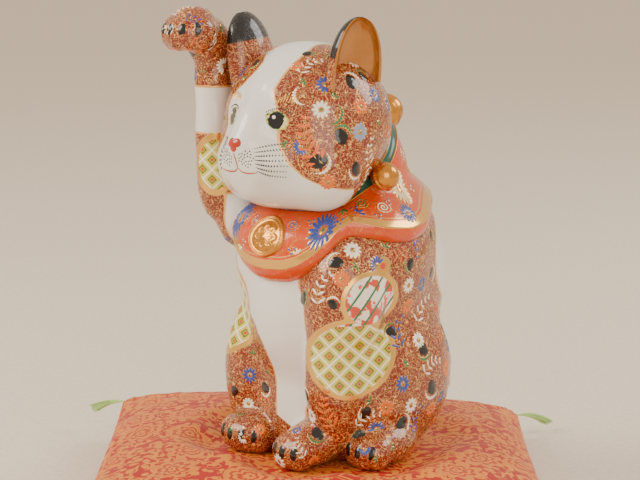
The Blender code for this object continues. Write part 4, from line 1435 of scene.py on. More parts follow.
@dataclass
class Painting:
    """Lays the placed motifs on one skin, and scatters more on the rest of its ground."""

    name: str
    skin: Skin
    axis_y: Callable[[np.ndarray], np.ndarray]
    paint: Callable[[np.ndarray], dict[str, np.ndarray]]
    spots: Sequence[Spot]
    seed: int
    count: int
    keep_off: Callable[[np.ndarray], np.ndarray]

    def anchor(self, angle: float, height: float) -> tuple[np.ndarray, np.ndarray]:
        """The skin's point and facing at an angle from the front and a height.

        Args:
            angle: Degrees from the front.
            height: Height above the foot, in mm.

        Returns:
            The point and its unit normal.
        """
        turn = math.radians(angle)
        out = np.array([[math.sin(turn), -math.cos(turn), 0.0]])
        start = np.array([[0.0, float(self.axis_y(np.array([height]))[0]), height]])
        point = self.skin.hit(start, out)
        _, normal = self.skin.settle(point, 1)
        return point[0], normal[0]

    def build(self, ground: Object, material: Material) -> Enamels:
        """Places and scatters the motifs, most wanted first, none on another.

        Args:
            ground: The painted piece whose points are the places to choose from.
            material: Not used.

        Returns:
            The collected dabs, not yet built.
        """
        enamels = Enamels(self.name, self.skin)
        taken: list[np.ndarray] = []
        sizes: list[float] = []
        for spot in self.spots:
            point, normal = self.anchor(spot.angle, spot.height)
            enamels.lay(motif_rows(spot), point, normal, spot.turn)
            taken.append(point)
            sizes.append(spot.size * (1.2 if spot.kind is not Motif.FERN else 0.9))
        points = np.empty(len(ground.data.vertices) * 3)
        ground.data.vertices.foreach_get("co", points)
        points = (points.reshape(-1, 3) - ORIGIN) / MM
        dice = np.random.default_rng(self.seed)
        picks = points[dice.permutation(len(points))[:26000]]
        paint = self.paint(picks)
        free = (paint["red"] > 5.5) & (paint["panel"] > 6.0) & self.keep_off(picks)
        picks = picks[free]
        _, normals = self.skin.settle(picks, 1)
        kinds = ((K.DAISY, 6.2), (K.PATCH, 5.2), (K.FERN, 9.5), (K.LEAVES, 4.6), (K.HALF_DAISY, 6.0), (K.ARC, 4.6))
        hues = (H.WHITE, H.BLUE, H.ORANGE, H.WHITE, H.BLUE, H.ORANGE)
        made = 0
        for point, normal in zip(picks, normals):
            kind, size = kinds[made % 6]
            size *= 0.85 if made % 5 else 1.05
            room = size * (1.15 if kind is not Motif.FERN else 0.85)
            if taken and (np.linalg.norm(np.array(taken) - point, axis=1) < np.array(sizes) + room).any():
                continue
            hue = H.GREEN if kind in (K.LEAVES, K.ARC) else hues[int(dice.integers(6))]
            if kind is K.PATCH:
                hue = (H.WHITE, H.GREEN)[made % 2]
            spot = Spot(kind, hue, 0, 0, size, float(dice.integers(360)))
            enamels.lay(motif_rows(spot), point, normal, spot.turn)
            taken.append(point)
            sizes.append(room)
            made += 1
            if made >= self.count:
                break
        LOG.info("%s: %d placed, %d scattered", self.name, len(self.spots), made)
        return enamels


def lay_claws(enamels: Enamels) -> None:
    """Black claws in gold at the toes of all the paws, and pads under the raised one.

    Args:
        enamels: Takes the dabs.
    """
    toes = (
        [(15, -72), (23, -75), (32, -74)],
        [(-41, -63), (-32, -66), (-23, -65), (-15, -61)],
        [(51, -42), (60, -44), (68, -39)],
    )
    for group in toes:
        for x, y in group:
            facing = np.array([0.1 * np.sign(x), -1.0, 0.55])
            rows = [dab(0, 0, 5.0, 3.0, 1.57, Hue.GOLD, 0.02), dab(0, 0, 4.5, 2.5, 1.57, Hue.BLACK, 0.16)]
            enamels.lay(rows, np.array([x, y - 7.0, 13.0]), facing)
    for x, y in ((-81, -74), (-75, -80), (-67, -83), (-59, -80), (-53, -73)):
        rows = [dab(0, 0, 4.4, 2.9, 1.57, Hue.GOLD, 0.02), dab(0, 0, 3.9, 2.4, 1.57, Hue.BLACK, 0.16)]
        enamels.lay(rows, np.array([x, y - 6.0, 283.0]), np.array([(x + 67) * 0.04, -1.0, -0.1]))
        enamels.lay(
            [dab(0, 0, 2.2, 1.8, 0, Hue.ORANGE, 0.1)], np.array([x, y - 2.0, 270.0]), np.array([0, -0.4, -1.0])
        )
    enamels.lay(
        [dab(0, 0, 6.0, 4.6, 0, Hue.GOLD, 0.02), dab(0, 0, 5.2, 3.8, 0, Hue.ORANGE, 0.12)],
        np.array([-67.0, -68.0, 269.0]),
        np.array([0, -0.5, -1.0]),
    )


# ---- The bib, ribbon, bells and medallion --------------------------------------------------


@dataclass
class Collar:
    """The orange bib over the shoulders, its ribbon, three bells and the gilt medallion.

    The bib's skin runs from the neck (share 0) to the hem (share 1) at each angle from the
    front, and thickens downwards, so every piece of the collar is placed by (angle, share).
    """

    edge_rise: float = 7.0
    neck_thickness: float = 2.0
    hem_thickness: float = 7.5
    ribbon_width: float = 5.5
    front_depth: float = 42.0
    front_radius: float = 70.0
    medal_share: float = 0.46
    medal_radius: float = 15.0
    around: int = 300
    rows: int = 40
    neck: tuple[np.ndarray, np.ndarray] | None = None

    def torso_point(self, angle: np.ndarray, height: np.ndarray, level: float) -> np.ndarray:
        """The torso's skin at an angle from the front and a height.

        Args:
            angle: Degrees from the front.
            height: Height above the foot, in mm.
            level: The value to reach, in mm.

        Returns:
            Points in mm.
        """
        angle, height = np.broadcast_arrays(np.asarray(angle, float), np.asarray(height, float))
        middle = curve_of(BODY_AXIS, height)
        starts = np.stack([0 * height, middle, height], axis=-1).reshape(-1, 3)
        out = np.stack([np.sin(angle), -np.cos(angle), 0 * angle], axis=-1).reshape(-1, 3)
        return TORSO_SKIN.hit(starts, out, level).reshape(*height.shape, 3)

    def neck_height(self, angle: np.ndarray) -> np.ndarray:
        """The height at each angle where the head's skin meets the torso's.

        Args:
            angle: Degrees from the front.

        Returns:
            Heights in mm.
        """
        if self.neck is None:
            angles = np.linspace(-math.pi, math.pi, 181)
            low, high = np.full(181, 140.0), np.full(181, 222.0)
            for _ in range(16):
                middle = (low + high) / 2
                buried = HEAD_SKIN.value(self.torso_point(angles, middle, 0.0)) < 0
                high, low = np.where(buried, middle, high), np.where(buried, low, middle)
            self.neck = (angles, high)
        turned = (np.asarray(angle) + math.pi) % math.tau - math.pi
        return np.interp(turned, *self.neck)

    def hem_height(self, angle: np.ndarray) -> np.ndarray:
        """The height of the scalloped hem, the same on both sides.

        Args:
            angle: Degrees from the front.

        Returns:
            Heights in mm.
        """
        turned = np.degrees(np.abs((np.asarray(angle) + math.pi) % math.tau - math.pi))
        fine = np.linspace(0, 180, 361)
        table = curve_of(BIB_HEM, fine)
        kernel = np.hanning(15) / np.hanning(15).sum()
        eased = np.convolve(np.pad(table, 7, mode="edge"), kernel, "valid")
        return np.interp(turned, fine, eased)

    def skin(self, angle: np.ndarray, share: np.ndarray, proud: float | np.ndarray = 0.0) -> np.ndarray:
        """The bib's outer skin: the torso's point, moved out by the bib's thickness there.

        Args:
            angle: Degrees from the front.
            share: The part taken, from 0 to 1.
            proud: How far out of the skin, in mm.

        Returns:
            Points in mm.
        """
        angle, share = np.broadcast_arrays(np.asarray(angle, float), np.asarray(share, float))
        top = self.neck_height(angle) - 1.0
        high = top * (1 - share) + (self.hem_height(angle) + self.edge_rise) * share
        thick = self.neck_thickness + (self.hem_thickness - self.neck_thickness) * np.clip(share, 0, 1) ** 0.8
        out = np.stack([np.sin(angle), -np.cos(angle), 0.5 + 0 * angle], axis=-1)
        out /= np.linalg.norm(out, axis=-1, keepdims=True)
        return self.torso_point(angle, high, ZONE_GAP) + out * (thick + proud)[..., None]

    def emerge(self, angle: np.ndarray, proud: float) -> np.ndarray:
        """The share at which the bib's skin comes out from under the head.

        Args:
            angle: Degrees from the front.
            proud: How far out of the skin, in mm.

        Returns:
            Shares from 0 at the neck to 1 at the hem.
        """
        low, high = np.zeros(np.shape(angle)), np.full(np.shape(angle), 0.8)
        for _ in range(14):
            middle = (low + high) / 2
            points = self.skin(angle, middle, proud)
            buried = HEAD_SKIN.value(points.reshape(-1, 3)).reshape(np.shape(angle)) < 0
            low, high = np.where(buried, middle, low), np.where(buried, high, middle)
        return high

    def build_bib(self, enamel: Material) -> None:
        """The bib: outer skin, a rolled hem and the inner skin, all round the neck.

        Args:
            enamel: The enamel.
        """
        angles = np.linspace(0, math.tau, self.around, endpoint=False)[:, None]
        shares = np.linspace(0.0, 1.0, self.rows)[None, :]
        outer = self.skin(angles, shares)
        hem_in = self.torso_point(angles[:, 0], self.hem_height(angles[:, 0]), ZONE_GAP)
        top_in = self.torso_point(angles[:, 0], self.neck_height(angles[:, 0]) - 1.0, ZONE_GAP)
        edge = outer[:, -1]
        roll = np.linspace(0, 1, 9)[1:-1]
        bulge = np.sin(roll * math.pi) * 1.6
        way = edge - hem_in
        down = np.cross(np.roll(edge, -1, 0) - edge, way)
        down /= np.linalg.norm(down, axis=1)[:, None]
        down *= np.sign(-down[:, 2:3])
        lip = edge[:, None] - way[:, None] * roll[None, :, None] + down[:, None] * bulge[None, :, None]
        inner_shares = np.linspace(0, 1, 12)[None, :, None]
        inner = hem_in[:, None] * (1 - inner_shares) + top_in[:, None] * inner_shares
        heights = inner[..., 2]
        inner = self.torso_point(angles + 0 * heights, heights, ZONE_GAP * 0.6)
        grid = np.concatenate([outer, lip, inner], axis=1)
        rows, columns = grid.shape[:2]
        depth = np.concatenate(
            [
                (1 - shares) * np.linalg.norm(outer[:, -1] - outer[:, 0], axis=1)[:, None],
                np.full((rows, 7), 14.0),
                np.full((rows, 12), 14.0),
            ],
            axis=1,
        )
        quads = grid_faces(rows, columns, True, True)
        piece = make_piece("painted_bib", to_world(grid.reshape(-1, 3)), quads, enamel, "cat", {"rim": depth.ravel()})
        turn_out(piece)
        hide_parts("bib")

    def build_ribbon(self, green: Material, gold: Material) -> None:
        """The ribbon where it leaves the head, a domed band with a gold cord down each edge.

        Args:
            green: The ribbon's enamel.
            gold: The gilding.
        """
        angles = np.linspace(math.radians(48), math.tau - math.radians(48), 240)
        middle = self.emerge(angles, 0.7)
        shares = np.linspace(-1, 1, 15)
        across = middle[:, None] + self.ribbon_width * shares[None, :] / self.front_depth
        dome = 0.7 + 1.8 * (1 - shares**6)
        outer = self.skin(angles[:, None] + 0 * across, across, dome[None, :] + 0 * across)
        inner = self.skin(angles[:, None] + 0 * across, across, 0.6 + 0 * across)[:, ::-1]
        grid = np.concatenate([outer, inner], axis=1)
        rows, columns = grid.shape[:2]
        quads = grid_faces(rows, columns, False, True).tolist()
        quads += [list(range(columns)), list(range((rows - 1) * columns, rows * columns))]
        piece = make_piece("enamel_ribbon", to_world(grid.reshape(-1, 3)), quads, green, "cat")
        turn_out(piece)
        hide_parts("neck_ribbon")
        turns = np.linspace(0, math.tau, 10, endpoint=False)
        for index, side in enumerate((-0.82, 0.82)):
            share = middle + self.ribbon_width * side / self.front_depth
            line = self.skin(angles, share, 2.2)
            out = self.skin(angles, share, 3.2) - line
            down = np.cross(np.gradient(line, axis=0), out)
            down /= np.linalg.norm(down, axis=1)[:, None]
            ring = line[:, None] + 0.55 * (
                np.cos(turns)[None, :, None] * out[:, None] + np.sin(turns)[None, :, None] * down[:, None]
            )
            quads = grid_faces(len(line), 10, False, True).tolist()
            quads += [list(range(10)), list(range((len(line) - 1) * 10, len(line) * 10))]
            cord = make_piece(f"ribbon_edge_{index + 1}", to_world(ring.reshape(-1, 3)), quads, gold, "cat")
            turn_out(cord)

    def build_bells(self, gold: Material) -> None:
        """Round bells: a ball with a raised band and a groove either side of it."""
        for name, degrees, radius in (("left_bell", 82, 9.5), ("right_bell", -82, 9.5), ("nape_bell", 180, 12.0)):
            angle = np.array([math.radians(degrees)])
            share = self.emerge(angle, 0.7) + 0.8 * self.ribbon_width / self.front_depth
            centre = self.skin(angle, share, 2.5 + 0.94 * radius)[0]
            away = np.array([math.sin(angle[0]), -math.cos(angle[0]), 0.4])
            away /= np.linalg.norm(away)
            side = np.cross(away, (0, 0, 1))
            side /= np.linalg.norm(side)
            other = np.cross(side, away)
            tilt = np.linspace(-math.pi / 2, math.pi / 2, 49)[1:-1]
            swell = 1 + 0.05 * np.exp(-((tilt / 0.07) ** 2)) - 0.03 * np.exp(-(((np.abs(tilt) - 0.2) / 0.06) ** 2))
            turns = np.linspace(0, math.tau, 56, endpoint=False)
            ball = centre + radius * (
                (np.sin(tilt) * swell)[:, None, None] * away
                + (np.cos(tilt) * swell)[:, None, None]
                * (np.cos(turns)[None, :, None] * side + np.sin(turns)[None, :, None] * other)
            )
            rows, columns = ball.shape[:2]
            points = np.concatenate([ball.reshape(-1, 3), [centre - away * radius, centre + away * radius]])
            quads = grid_faces(rows, columns, False, True).tolist()
            quads += [[i, (i + 1) % columns, rows * columns] for i in range(columns)]
            last = (rows - 1) * columns
            quads += [[last + i, last + (i + 1) % columns, rows * columns + 1] for i in range(columns)]
            piece = make_piece(f"gilt_{name}", to_world(points), quads, gold, "cat")
            turn_out(piece)
            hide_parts(name)

    def on_skin(
        self, rows: list[list[float]], degrees: float, share: float, turn: float = 0.0
    ) -> tuple[np.ndarray, np.ndarray]:
        """Dab points laid on the bib about an angle and a share, and the dabs' numbers.

        Args:
            rows: Dabs as rows of numbers.
            degrees: Where round the bib.
            share: The part taken, from 0 to 1.
            turn: Its turn, in radians.

        Returns:
            Points in mm and the dab rows.
        """
        table = np.array(rows)
        flat = dab_outline(table)
        cos, sin = math.cos(math.radians(turn)), math.sin(math.radians(turn))
        u, v = flat[..., 0] * cos - flat[..., 1] * sin, flat[..., 0] * sin + flat[..., 1] * cos
        angle0 = math.radians(degrees)
        here = self.skin(np.array([angle0, angle0 + 0.02, angle0]), np.array([share, share, share + 0.02]))
        per_turn = np.linalg.norm(here[1] - here[0]) / 0.02
        per_share = np.linalg.norm(here[2] - here[0]) / 0.02
        points = self.skin(angle0 + u / per_turn, np.clip(share - v / per_share, -0.05, 1.0), flat[..., 2])
        return points.reshape(-1, 3), table

    def build_decoration(self, enamel: Material) -> None:
        """Spirals, fans, chrysanthemums, leaves and dot triplets round the bib.

        Args:
            enamel: The enamel.
        """
        laid = []
        for side in (1, -1):
            places = [
                (daisy(Hue.BLUE, 13, 17, 1.0), 34, 0.55, 0), (daisy(Hue.CREAM, 12, 21), 108, 0.55, 0),
                (spiral(Hue.BLUE, 5.4), 15, 0.24, 0), (spiral(Hue.GREEN, 5.6), 62, 0.32, 0),
                (spiral(Hue.WHITE, 6.2), 76, 0.55, 0),
                (spiral(Hue.BLUE, 5.4), 132, 0.36, 0), (spiral(Hue.CREAM, 5.6), 146, 0.66, 0),
                (leaves(Hue.GREEN, 5.5), 48, 0.28, 240),
                (leaves(Hue.GREEN, 5.0), 90, 0.35, 60), (leaves(Hue.BLUE, 5.5), 56, 0.62, 30),
                (spiral(Hue.GREEN, 4.0), 160, 0.5, 0),
                (leaves(Hue.GREEN, 5.0), 171, 0.72, 200), (daisy(Hue.BLUE, 8, 12), 92, 0.78, 0),
                (leaves(Hue.WHITE, 4.2), 20, 0.8, 90),
            ]
            for degrees, share in ((55, 0.42), (84, 0.5), (17, 0.7), (26, 0.22), (124, 0.75), (44, 0.75), (68, 0.72)):
                trio = [
                    dab(2.0 * math.cos(t), 2.0 * math.sin(t), 1.05, 1.05, 0, Hue.BLUE, 0.12) for t in (0.5, 2.6, 4.7)
                ]
                trio += [
                    dab(2.0 * math.cos(t), 2.0 * math.sin(t), 1.35, 1.35, 0, Hue.GOLD, 0.02) for t in (0.5, 2.6, 4.7)
                ]
                places.append((trio, degrees, share, 0))
            laid += [self.on_skin(rows, side * degrees, share, side * turn) for rows, degrees, share, turn in places]
        points = np.concatenate([p for p, _ in laid])
        rows = np.concatenate([r for _, r in laid])
        per = len(points) // len(rows)
        colours = np.concatenate([rows[:, 7:10], np.ones((len(rows), 1))], axis=1)
        values = {"enamel": np.repeat(colours, per, 0), "gilt": np.repeat(rows[:, 6], per)}
        make_piece("bib_enamels", to_world(points), dab_faces(len(rows)), enamel, "cat", values)

    def build_medallion(self, gold: Material) -> None:
        """The gilt medallion: a raised ring, a beaded ring and a plain eight-petalled rosette.

        Its height over the bib is a sum of smooth steps of the radius and a cosine of eight
        times the turn.

        Args:
            gold: The gilding.
        """
        radius = np.linspace(0, 1, 60)[1:]
        turns = np.linspace(0, math.tau, 144, endpoint=False)
        r, t = np.meshgrid(radius, turns, indexing="ij")
        height = 0.9 + 0.9 * np.exp(-(((r - 0.93) / 0.045) ** 2)) + 0.35 * np.exp(-(((r - 0.8) / 0.03) ** 2))
        petal = 0.66 * (0.72 + 0.28 * np.abs(np.cos(4 * t)))
        height += 0.75 / (1 + np.exp((r - petal) / 0.012)) - 0.3 * np.exp(-(((r - petal * 0.7) / 0.03) ** 2))
        height += 0.5 * np.exp(-((r / 0.14) ** 2)) - 0.3 * np.exp(
            -((np.sin(4 * t) / 0.16) ** 2)
        ) * (r < petal) * (r > 0.2)
        height = np.where(r > 0.985, -0.6, height)
        angle = self.medal_radius * r * np.cos(t) / self.front_radius
        share = self.medal_share - self.medal_radius * r * np.sin(t) / self.front_depth
        grid = self.skin(angle, share, height)
        centre = self.skin(np.array([0.0]), np.array([self.medal_share]), 1.9)
        back = self.skin(np.array([0.0]), np.array([self.medal_share]), -0.6)
        count = len(turns)
        points = np.concatenate([grid.reshape(-1, 3), centre, back])
        quads = grid_faces(len(radius), count, False, True).tolist()
        last = (len(radius) - 1) * count
        quads += [[i, (i + 1) % count, last + count] for i in range(count)]
        quads += [[last + i, last + (i + 1) % count, last + count + 1] for i in range(count)]
        piece = make_piece("gilt_medallion", to_world(points), quads, gold, "cat")
        turn_out(piece)
        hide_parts("bib_medallion")


# ---- The cushion ---------------------------------------------------------------------------


@dataclass
class BrocadeCushion:
    """The stuffed square cushion: crowned, dimpled under the cat, its sides pulled in."""

    side: float = 0.302
    turn: float = math.radians(40.5)
    seam: float = 0.025
    crest: float = 0.058
    corner_lift: float = 0.005
    clearance: float = 0.0035
    slope: float = 0.028
    cover: float = 0.0012
    cells: int = 190

    def plan(self, u: np.ndarray, v: np.ndarray) -> tuple[np.ndarray, np.ndarray]:
        """A square whose sides pull in between its corners."""
        half, pull = self.side / 2, 0.02
        return half * u * (1 - pull * (1 - v * v) * np.abs(u)), half * v * (1 - pull * (1 - u * u) * np.abs(v))

    def seat_distance(self, x: np.ndarray, y: np.ndarray) -> np.ndarray:
        """Distance outside the cat's foot, in metres, at cushion points.

        Args:
            x: Across, in metres.
            y: Along, in metres.

        Returns:
            Distances in metres.
        """
        cos, sin = math.cos(self.turn), math.sin(self.turn)
        cat_x = (x * cos - y * sin - ORIGIN[0]) / MM
        cat_y = (x * sin + y * cos - ORIGIN[1]) / MM
        levels = []
        for height in (2.0, 7.0, 14.0):
            points = np.stack([cat_x, cat_y, np.full(x.shape, height)], axis=-1).reshape(-1, 3)
            levels.append(np.minimum(FOOT_SKIN.value(points), 60.0).reshape(x.shape))
        return np.minimum.reduce(levels) * MM

    def wrinkles(self, u: np.ndarray, v: np.ndarray) -> np.ndarray:
        """Puckers that fan in from each corner and ripples along the seam, in metres.

        Args:
            u: Across, from -1 to 1.
            v: Along, from -1 to 1.

        Returns:
            Rises in metres.
        """
        total = 0 * u
        for su, sv in ((1, 1), (1, -1), (-1, 1), (-1, -1)):
            du, dv = 1 - su * u, 1 - sv * v
            reach = np.hypot(du, dv)
            fan = np.arctan2(dv, du)
            total += np.cos(fan * 18 + su + 2 * sv) * 0.0011 * np.exp(
                -((reach / 0.5) ** 2)
            ) * np.clip(reach / 0.1, 0, 1)
        edge = 1 - np.maximum(np.abs(u), np.abs(v))
        along = np.where(np.abs(u) > np.abs(v), v, u)
        total += 0.0006 * np.sin(along * 41 + 2 * np.sin(along * 9)) * np.exp(
            -((edge / 0.1) ** 2)
        ) * np.clip(edge / 0.02, 0, 1)
        soft = np.sin(u * 7 + 2 * np.sin(v * 5)) * np.sin(v * 6 + 1.5 * np.sin(u * 4))
        return total + 0.0006 * soft * np.clip(edge / 0.15, 0, 1)

    def height(self, u: np.ndarray, v: np.ndarray, upper: bool) -> np.ndarray:
        """Height of the top or underside: seam plus the crown, less the cat's dimple.

        Args:
            u: Across, from -1 to 1.
            v: Along, from -1 to 1.
            upper: Whether it is the top.

        Returns:
            Heights in metres.
        """
        full = np.clip((1 - u**2) * (1 - v**2), 0, 1) ** 0.38
        seam = self.seam - self.corner_lift * u * (1 + v) / 2
        if not upper:
            return np.maximum(seam - 0.0405 * full, 0.0)
        crest = self.crest - 0.6 * self.corner_lift * u * (1 + v) / 2
        pillow = seam + (crest - seam) * full
        away = self.seat_distance(*self.plan(u, v))
        share = np.clip((away - self.clearance) / self.slope, 0, 1)
        rise = share * share * (3 - 2 * share)
        floor = ORIGIN[2] - 0.0003
        return floor + (pillow - floor) * rise + self.wrinkles(u, v) * np.clip(share, 0, 1)

    def world(self, x: np.ndarray, y: np.ndarray, z: np.ndarray) -> np.ndarray:
        """Cushion points turned into the world."""
        cos, sin = math.cos(self.turn), math.sin(self.turn)
        return np.stack([x * cos - y * sin, x * sin + y * cos, z], axis=-1)

    def build(self, silk: Material, cord: Material) -> None:
        """Makes the cover as one closed pillow and the piping along its seam.

        Args:
            silk: The brocade.
            cord: The edging.
        """
        steps = np.sin(np.linspace(-math.pi / 2, math.pi / 2, self.cells + 1))
        steps = 0.5 * steps + 0.5 * np.linspace(-1, 1, self.cells + 1)
        u, v = np.meshgrid(steps, steps, indexing="ij")
        x, y = self.plan(u, v)
        top, base = self.height(u, v, True), self.height(u, v, False)
        n = self.cells + 1
        edge = (np.abs(u) > 0.99999) | (np.abs(v) > 0.99999)
        mean = (top + base) / 2
        top, base = np.where(edge, mean, np.maximum(top, base + 0.0004)), np.where(edge, mean, base)
        points = np.concatenate([self.world(x, y, top).reshape(-1, 3), self.world(x, y, base).reshape(-1, 3)])
        upper = grid_faces(n, n)
        lower = grid_faces(n, n)[:, ::-1] + n * n
        rim = np.flatnonzero(edge.ravel())
        lower = np.where(np.isin(lower - n * n, rim), lower - n * n, lower)
        piece = make_piece("brocade_cover", points, np.concatenate([upper, lower]), silk, "cushion")
        self.drop_loose(piece)
        turn_out(piece)
        layer = piece.data.uv_layers.new(name="cloth")
        corner = np.empty(len(piece.data.loops), int)
        piece.data.loops.foreach_get("vertex_index", corner)
        co = np.empty(len(piece.data.vertices) * 3)
        piece.data.vertices.foreach_get("co", co)
        co = co.reshape(-1, 3)
        cos, sin = math.cos(-self.turn), math.sin(-self.turn)
        flat = np.stack([co[:, 0] * cos - co[:, 1] * sin, co[:, 0] * sin + co[:, 1] * cos], axis=1)
        layer.data.foreach_set("uv", flat[corner].astype(np.float32).ravel())
        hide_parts("cushion_top_panel", "cushion_bottom_panel", "cushion_wadding")
        self.piping(cord)

    def drop_loose(self, piece: Object) -> None:
        """Removes the points that no face uses.

        Args:
            piece: The piece.
        """
        used = np.zeros(len(piece.data.vertices), bool)
        corner = np.empty(len(piece.data.loops), int)
        piece.data.loops.foreach_get("vertex_index", corner)
        used[corner] = True
        co = np.empty(len(used) * 3)
        piece.data.vertices.foreach_get("co", co)
        faces = np.empty(len(piece.data.polygons) * 4, int)
        piece.data.polygons.foreach_get("vertices", faces)
        number = np.cumsum(used) - 1
        mesh = bpy.data.meshes.new(piece.name)
        mesh.from_pydata(co.reshape(-1, 3)[used], [], number[faces].reshape(-1, 4).tolist())
        mesh.materials.append(piece.data.materials[0])
        mesh.shade_smooth()
        old = piece.data
        piece.data = mesh
        bpy.data.meshes.remove(old)

    def piping(self, cord: Material) -> None:
        """A fine twisted edge of the same silk round the seam: a ring swept round the square.

        Args:
            cord: The edging.
        """
        corner = np.linspace(-1, 1, 161)[:-1]
        one = np.ones(160)
        u = np.concatenate([corner, one, -corner, -one])
        v = np.concatenate([-one, corner, one, -corner])
        x, y = self.plan(u, v)
        z = (self.height(u, v, True) + self.height(u, v, False)) / 2
        line = self.world(x, y, z)
        way = np.roll(line, -1, 0) - np.roll(line, 1, 0)
        way /= np.linalg.norm(way, axis=1)[:, None]
        side = np.cross(way, (0, 0, 1))
        turns = np.linspace(0, math.tau, 10, endpoint=False)
        ring = line[:, None] + 0.0011 * (
            np.cos(turns)[None, :, None] * side[:, None] + np.sin(turns)[None, :, None] * np.array([0, 0, 1.0])
        )
        quads = grid_faces(len(line), 10, True, True)
        piece = make_piece("seam_piping", ring.reshape(-1, 3), quads, cord, "cushion")
        turn_out(piece)


@dataclass
class Tassels:
    """Loose silk threads that droop from the corners, bound at their heads."""

    threads: int = 34
    length: float = 0.043
    droop: float = 0.013
    thickness: float = 0.00042

    def build(self, cushion: BrocadeCushion, silk: Material) -> None:
        """Makes each tassel: threads along out * s - down * s ** 1.6, spread in a cone.

        Args:
            cushion: The cushion.
            silk: The brocade.
        """
        dice = np.random.default_rng(7)
        signs = ((-1, 1), (1, 1), (1, -1), (-1, -1))
        turns = np.linspace(0, math.tau, 5, endpoint=False)
        share = np.linspace(0, 1, 12)
        for index, (su, sv) in enumerate(signs):
            seam = cushion.seam - cushion.corner_lift * su * (1 + sv) / 2
            half = cushion.side / 2
            spread = dice.normal(0, 1, (self.threads, 2)) * 0.42
            reach = self.length * dice.uniform(0.78, 1.0, self.threads)
            out = np.array([su, sv]) / math.sqrt(2)
            side = np.array([-out[1], out[0]])
            s = share[None, :]
            wave = 0.0006 * np.sin(s * 7 + dice.uniform(0, 6, (self.threads, 1)))
            fan = np.clip(s * 3, 0, 1) * (0.0009 + 0.0032 * s)
            along = reach[:, None] * s
            beside = spread[:, :1] * fan + wave * s
            down = self.droop * s**1.6 + spread[:, 1:] * fan * 0.8
            x = su * half + out[0] * along + side[0] * beside
            y = sv * half + out[1] * along + side[1] * beside
            line = cushion.world(x, y, seam - down)
            way = np.gradient(line, axis=1)
            way /= np.linalg.norm(way, axis=-1, keepdims=True)
            first = np.cross(way, (0, 0, 1.0))
            first /= np.linalg.norm(first, axis=-1, keepdims=True)
            second = np.cross(first, way)
            ring = line[:, :, None] + self.thickness * (
                np.cos(turns)[:, None] * first[:, :, None] + np.sin(turns)[:, None] * second[:, :, None]
            )
            quads = np.concatenate(
                [grid_faces(len(share), 5, False, True, start=i * len(share) * 5) for i in range(self.threads)]
            ).tolist()
            for i in range(self.threads):
                first_ring = i * len(share) * 5
                last_ring = first_ring + (len(share) - 1) * 5
                quads += [list(range(first_ring, first_ring + 5))[::-1], list(range(last_ring, last_ring + 5))]
            piece = make_piece(f"tassel_threads_{index + 1}", ring.reshape(-1, 3), quads, silk, "cushion")
            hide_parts(f"corner_tassel_{index + 1}")


# ---- The studio ----------------------------------------------------------------------------


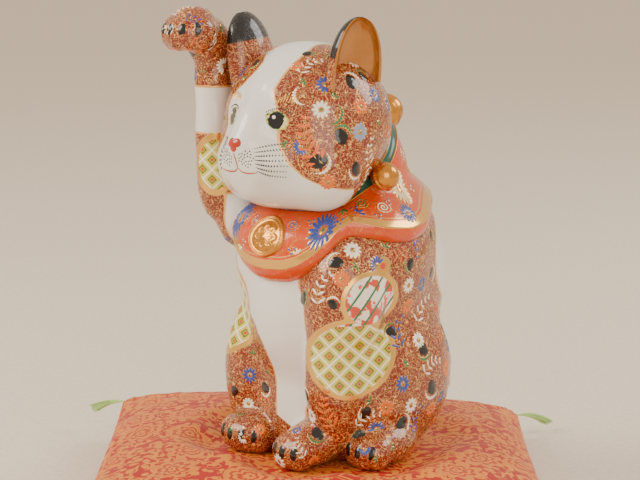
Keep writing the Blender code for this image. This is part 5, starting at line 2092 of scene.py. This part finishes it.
@dataclass
class Studio:
    """A plain pale floor and wall colour, soft lights and the camera."""

    azimuth: float = 41.0
    elevation: float = 10.5
    distance: float = 1.205
    lens: float = 100.0
    target: tuple[float, float, float] = (-0.0069, 0.0096, 0.1830)

    def build(self) -> None:
        """Makes the floor, the world, the lights and the camera."""
        floor = PlainGlaze("pale_floor", "F1E6D6", 0.6).material()
        mesh = bpy.data.meshes.new("floor")
        mesh.from_pydata([(-60, -60, 0), (60, -60, 0), (60, 60, 0), (-60, 60, 0)], [], [(0, 1, 2, 3)])
        mesh.materials.append(floor)
        plane = bpy.data.objects.new("floor", mesh)
        bpy.context.scene.collection.objects.link(plane)
        plane.location.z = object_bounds()[0].z
        plane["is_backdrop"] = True
        world = bpy.data.worlds.new("studio")
        world.use_nodes = True
        world.node_tree.nodes["Background"].inputs[0].default_value = linear("EFDCC4")
        world.node_tree.nodes["Background"].inputs[1].default_value = 1.15
        bpy.context.scene.world = world
        lights = (
            ("key", (-0.9, -1.3, 1.3), 1.0, 31, "FFF6EA"),
            ("fill", (1.8, -1.2, 0.9), 1.4, 19, "FFF3E6"),
            ("rim", (1.0, 1.6, 1.4), 1.0, 22, "FFFFFF"),
        )
        for name, place, size, power, colour in lights:
            lamp = bpy.data.lights.new(name, "AREA")
            lamp.size, lamp.energy = size, power
            lamp.color = linear(colour)[:3]
            item = bpy.data.objects.new(name, lamp)
            item.location = place
            item.rotation_euler = (Vector(self.target) - Vector(place)).to_track_quat("-Z", "Y").to_euler()
            bpy.context.scene.collection.objects.link(item)
        turn, rise = math.radians(self.azimuth), math.radians(self.elevation)
        back = Vector((math.sin(turn) * math.cos(rise), -math.cos(turn) * math.cos(rise), math.sin(rise)))
        camera = bpy.data.objects.new("camera", bpy.data.cameras.new("camera"))
        camera.data.lens, camera.data.sensor_width = self.lens, 36
        camera.location = Vector(self.target) + back * self.distance
        camera.rotation_euler = (-back).to_track_quat("-Z", "Y").to_euler()
        bpy.context.scene.collection.objects.link(camera)
        bpy.context.scene.camera = camera


FOOT_SKIN = Skin(tuple(group for group in BODY_SKIN.groups if group[0] != tuple(RAISED_ARM)), foot=False, margin=60.0)


def main() -> None:
    """Builds every piece in order."""
    logging.basicConfig(level=logging.INFO, format="%(message)s")
    glaze = PaintedPorcelain().material()
    gold = Gilding().material()
    enamel = EnamelDabs().material()
    silk = SilkBrocade().material()
    cat = PorcelainCat()
    cat.build(glaze)
    Ears().build(EarGlaze().material(), gold)
    body = bpy.data.objects["porcelain_body"]
    head = bpy.data.objects["porcelain_head"]
    painting = Painting(
        "body_enamels", BODY_SKIN, lambda z: curve_of(BODY_AXIS, z), cat.body_paint, BODY_SPOTS, 11, 170,
        lambda p: (p[:, 2] > 6) & (p[:, 2] < 152) | (p[:, 0] < -44) & (p[:, 2] > 150) & (p[:, 1] < -35),
    )
    enamels = painting.build(body, enamel)
    lay_claws(enamels)
    enamels.build(enamel, "cat")
    painting = Painting(
        "head_enamels", HEAD_SKIN, lambda z: 0 * z + HEAD_AXIS_Y, cat.head_paint, HEAD_SPOTS, 5, 60,
        lambda p: p[:, 2] > 186,
    )
    enamels = painting.build(head, enamel)
    Face(enamels).build()
    enamels.build(enamel, "cat")
    collar = Collar()
    collar.build_bib(OrangeEnamel().material())
    collar.build_ribbon(PlainGlaze("green_ribbon_enamel", "1F5A48", 0.2).material(), gold)
    collar.build_bells(gold)
    collar.build_medallion(gold)
    collar.build_decoration(enamel)
    cushion = BrocadeCushion()
    cushion.build(silk, PlainGlaze("silk_piping", "E0781E", 0.6).material())
    Tassels().build(cushion, PlainGlaze("green_silk_thread", "B9DC84", 0.65).material())
    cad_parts["base_slab"].material_slots[0].material = PlainGlaze("bare_biscuit", "E6DCCB", 0.85).material()
    Studio().build()


if __name__ == "__main__":
    main()
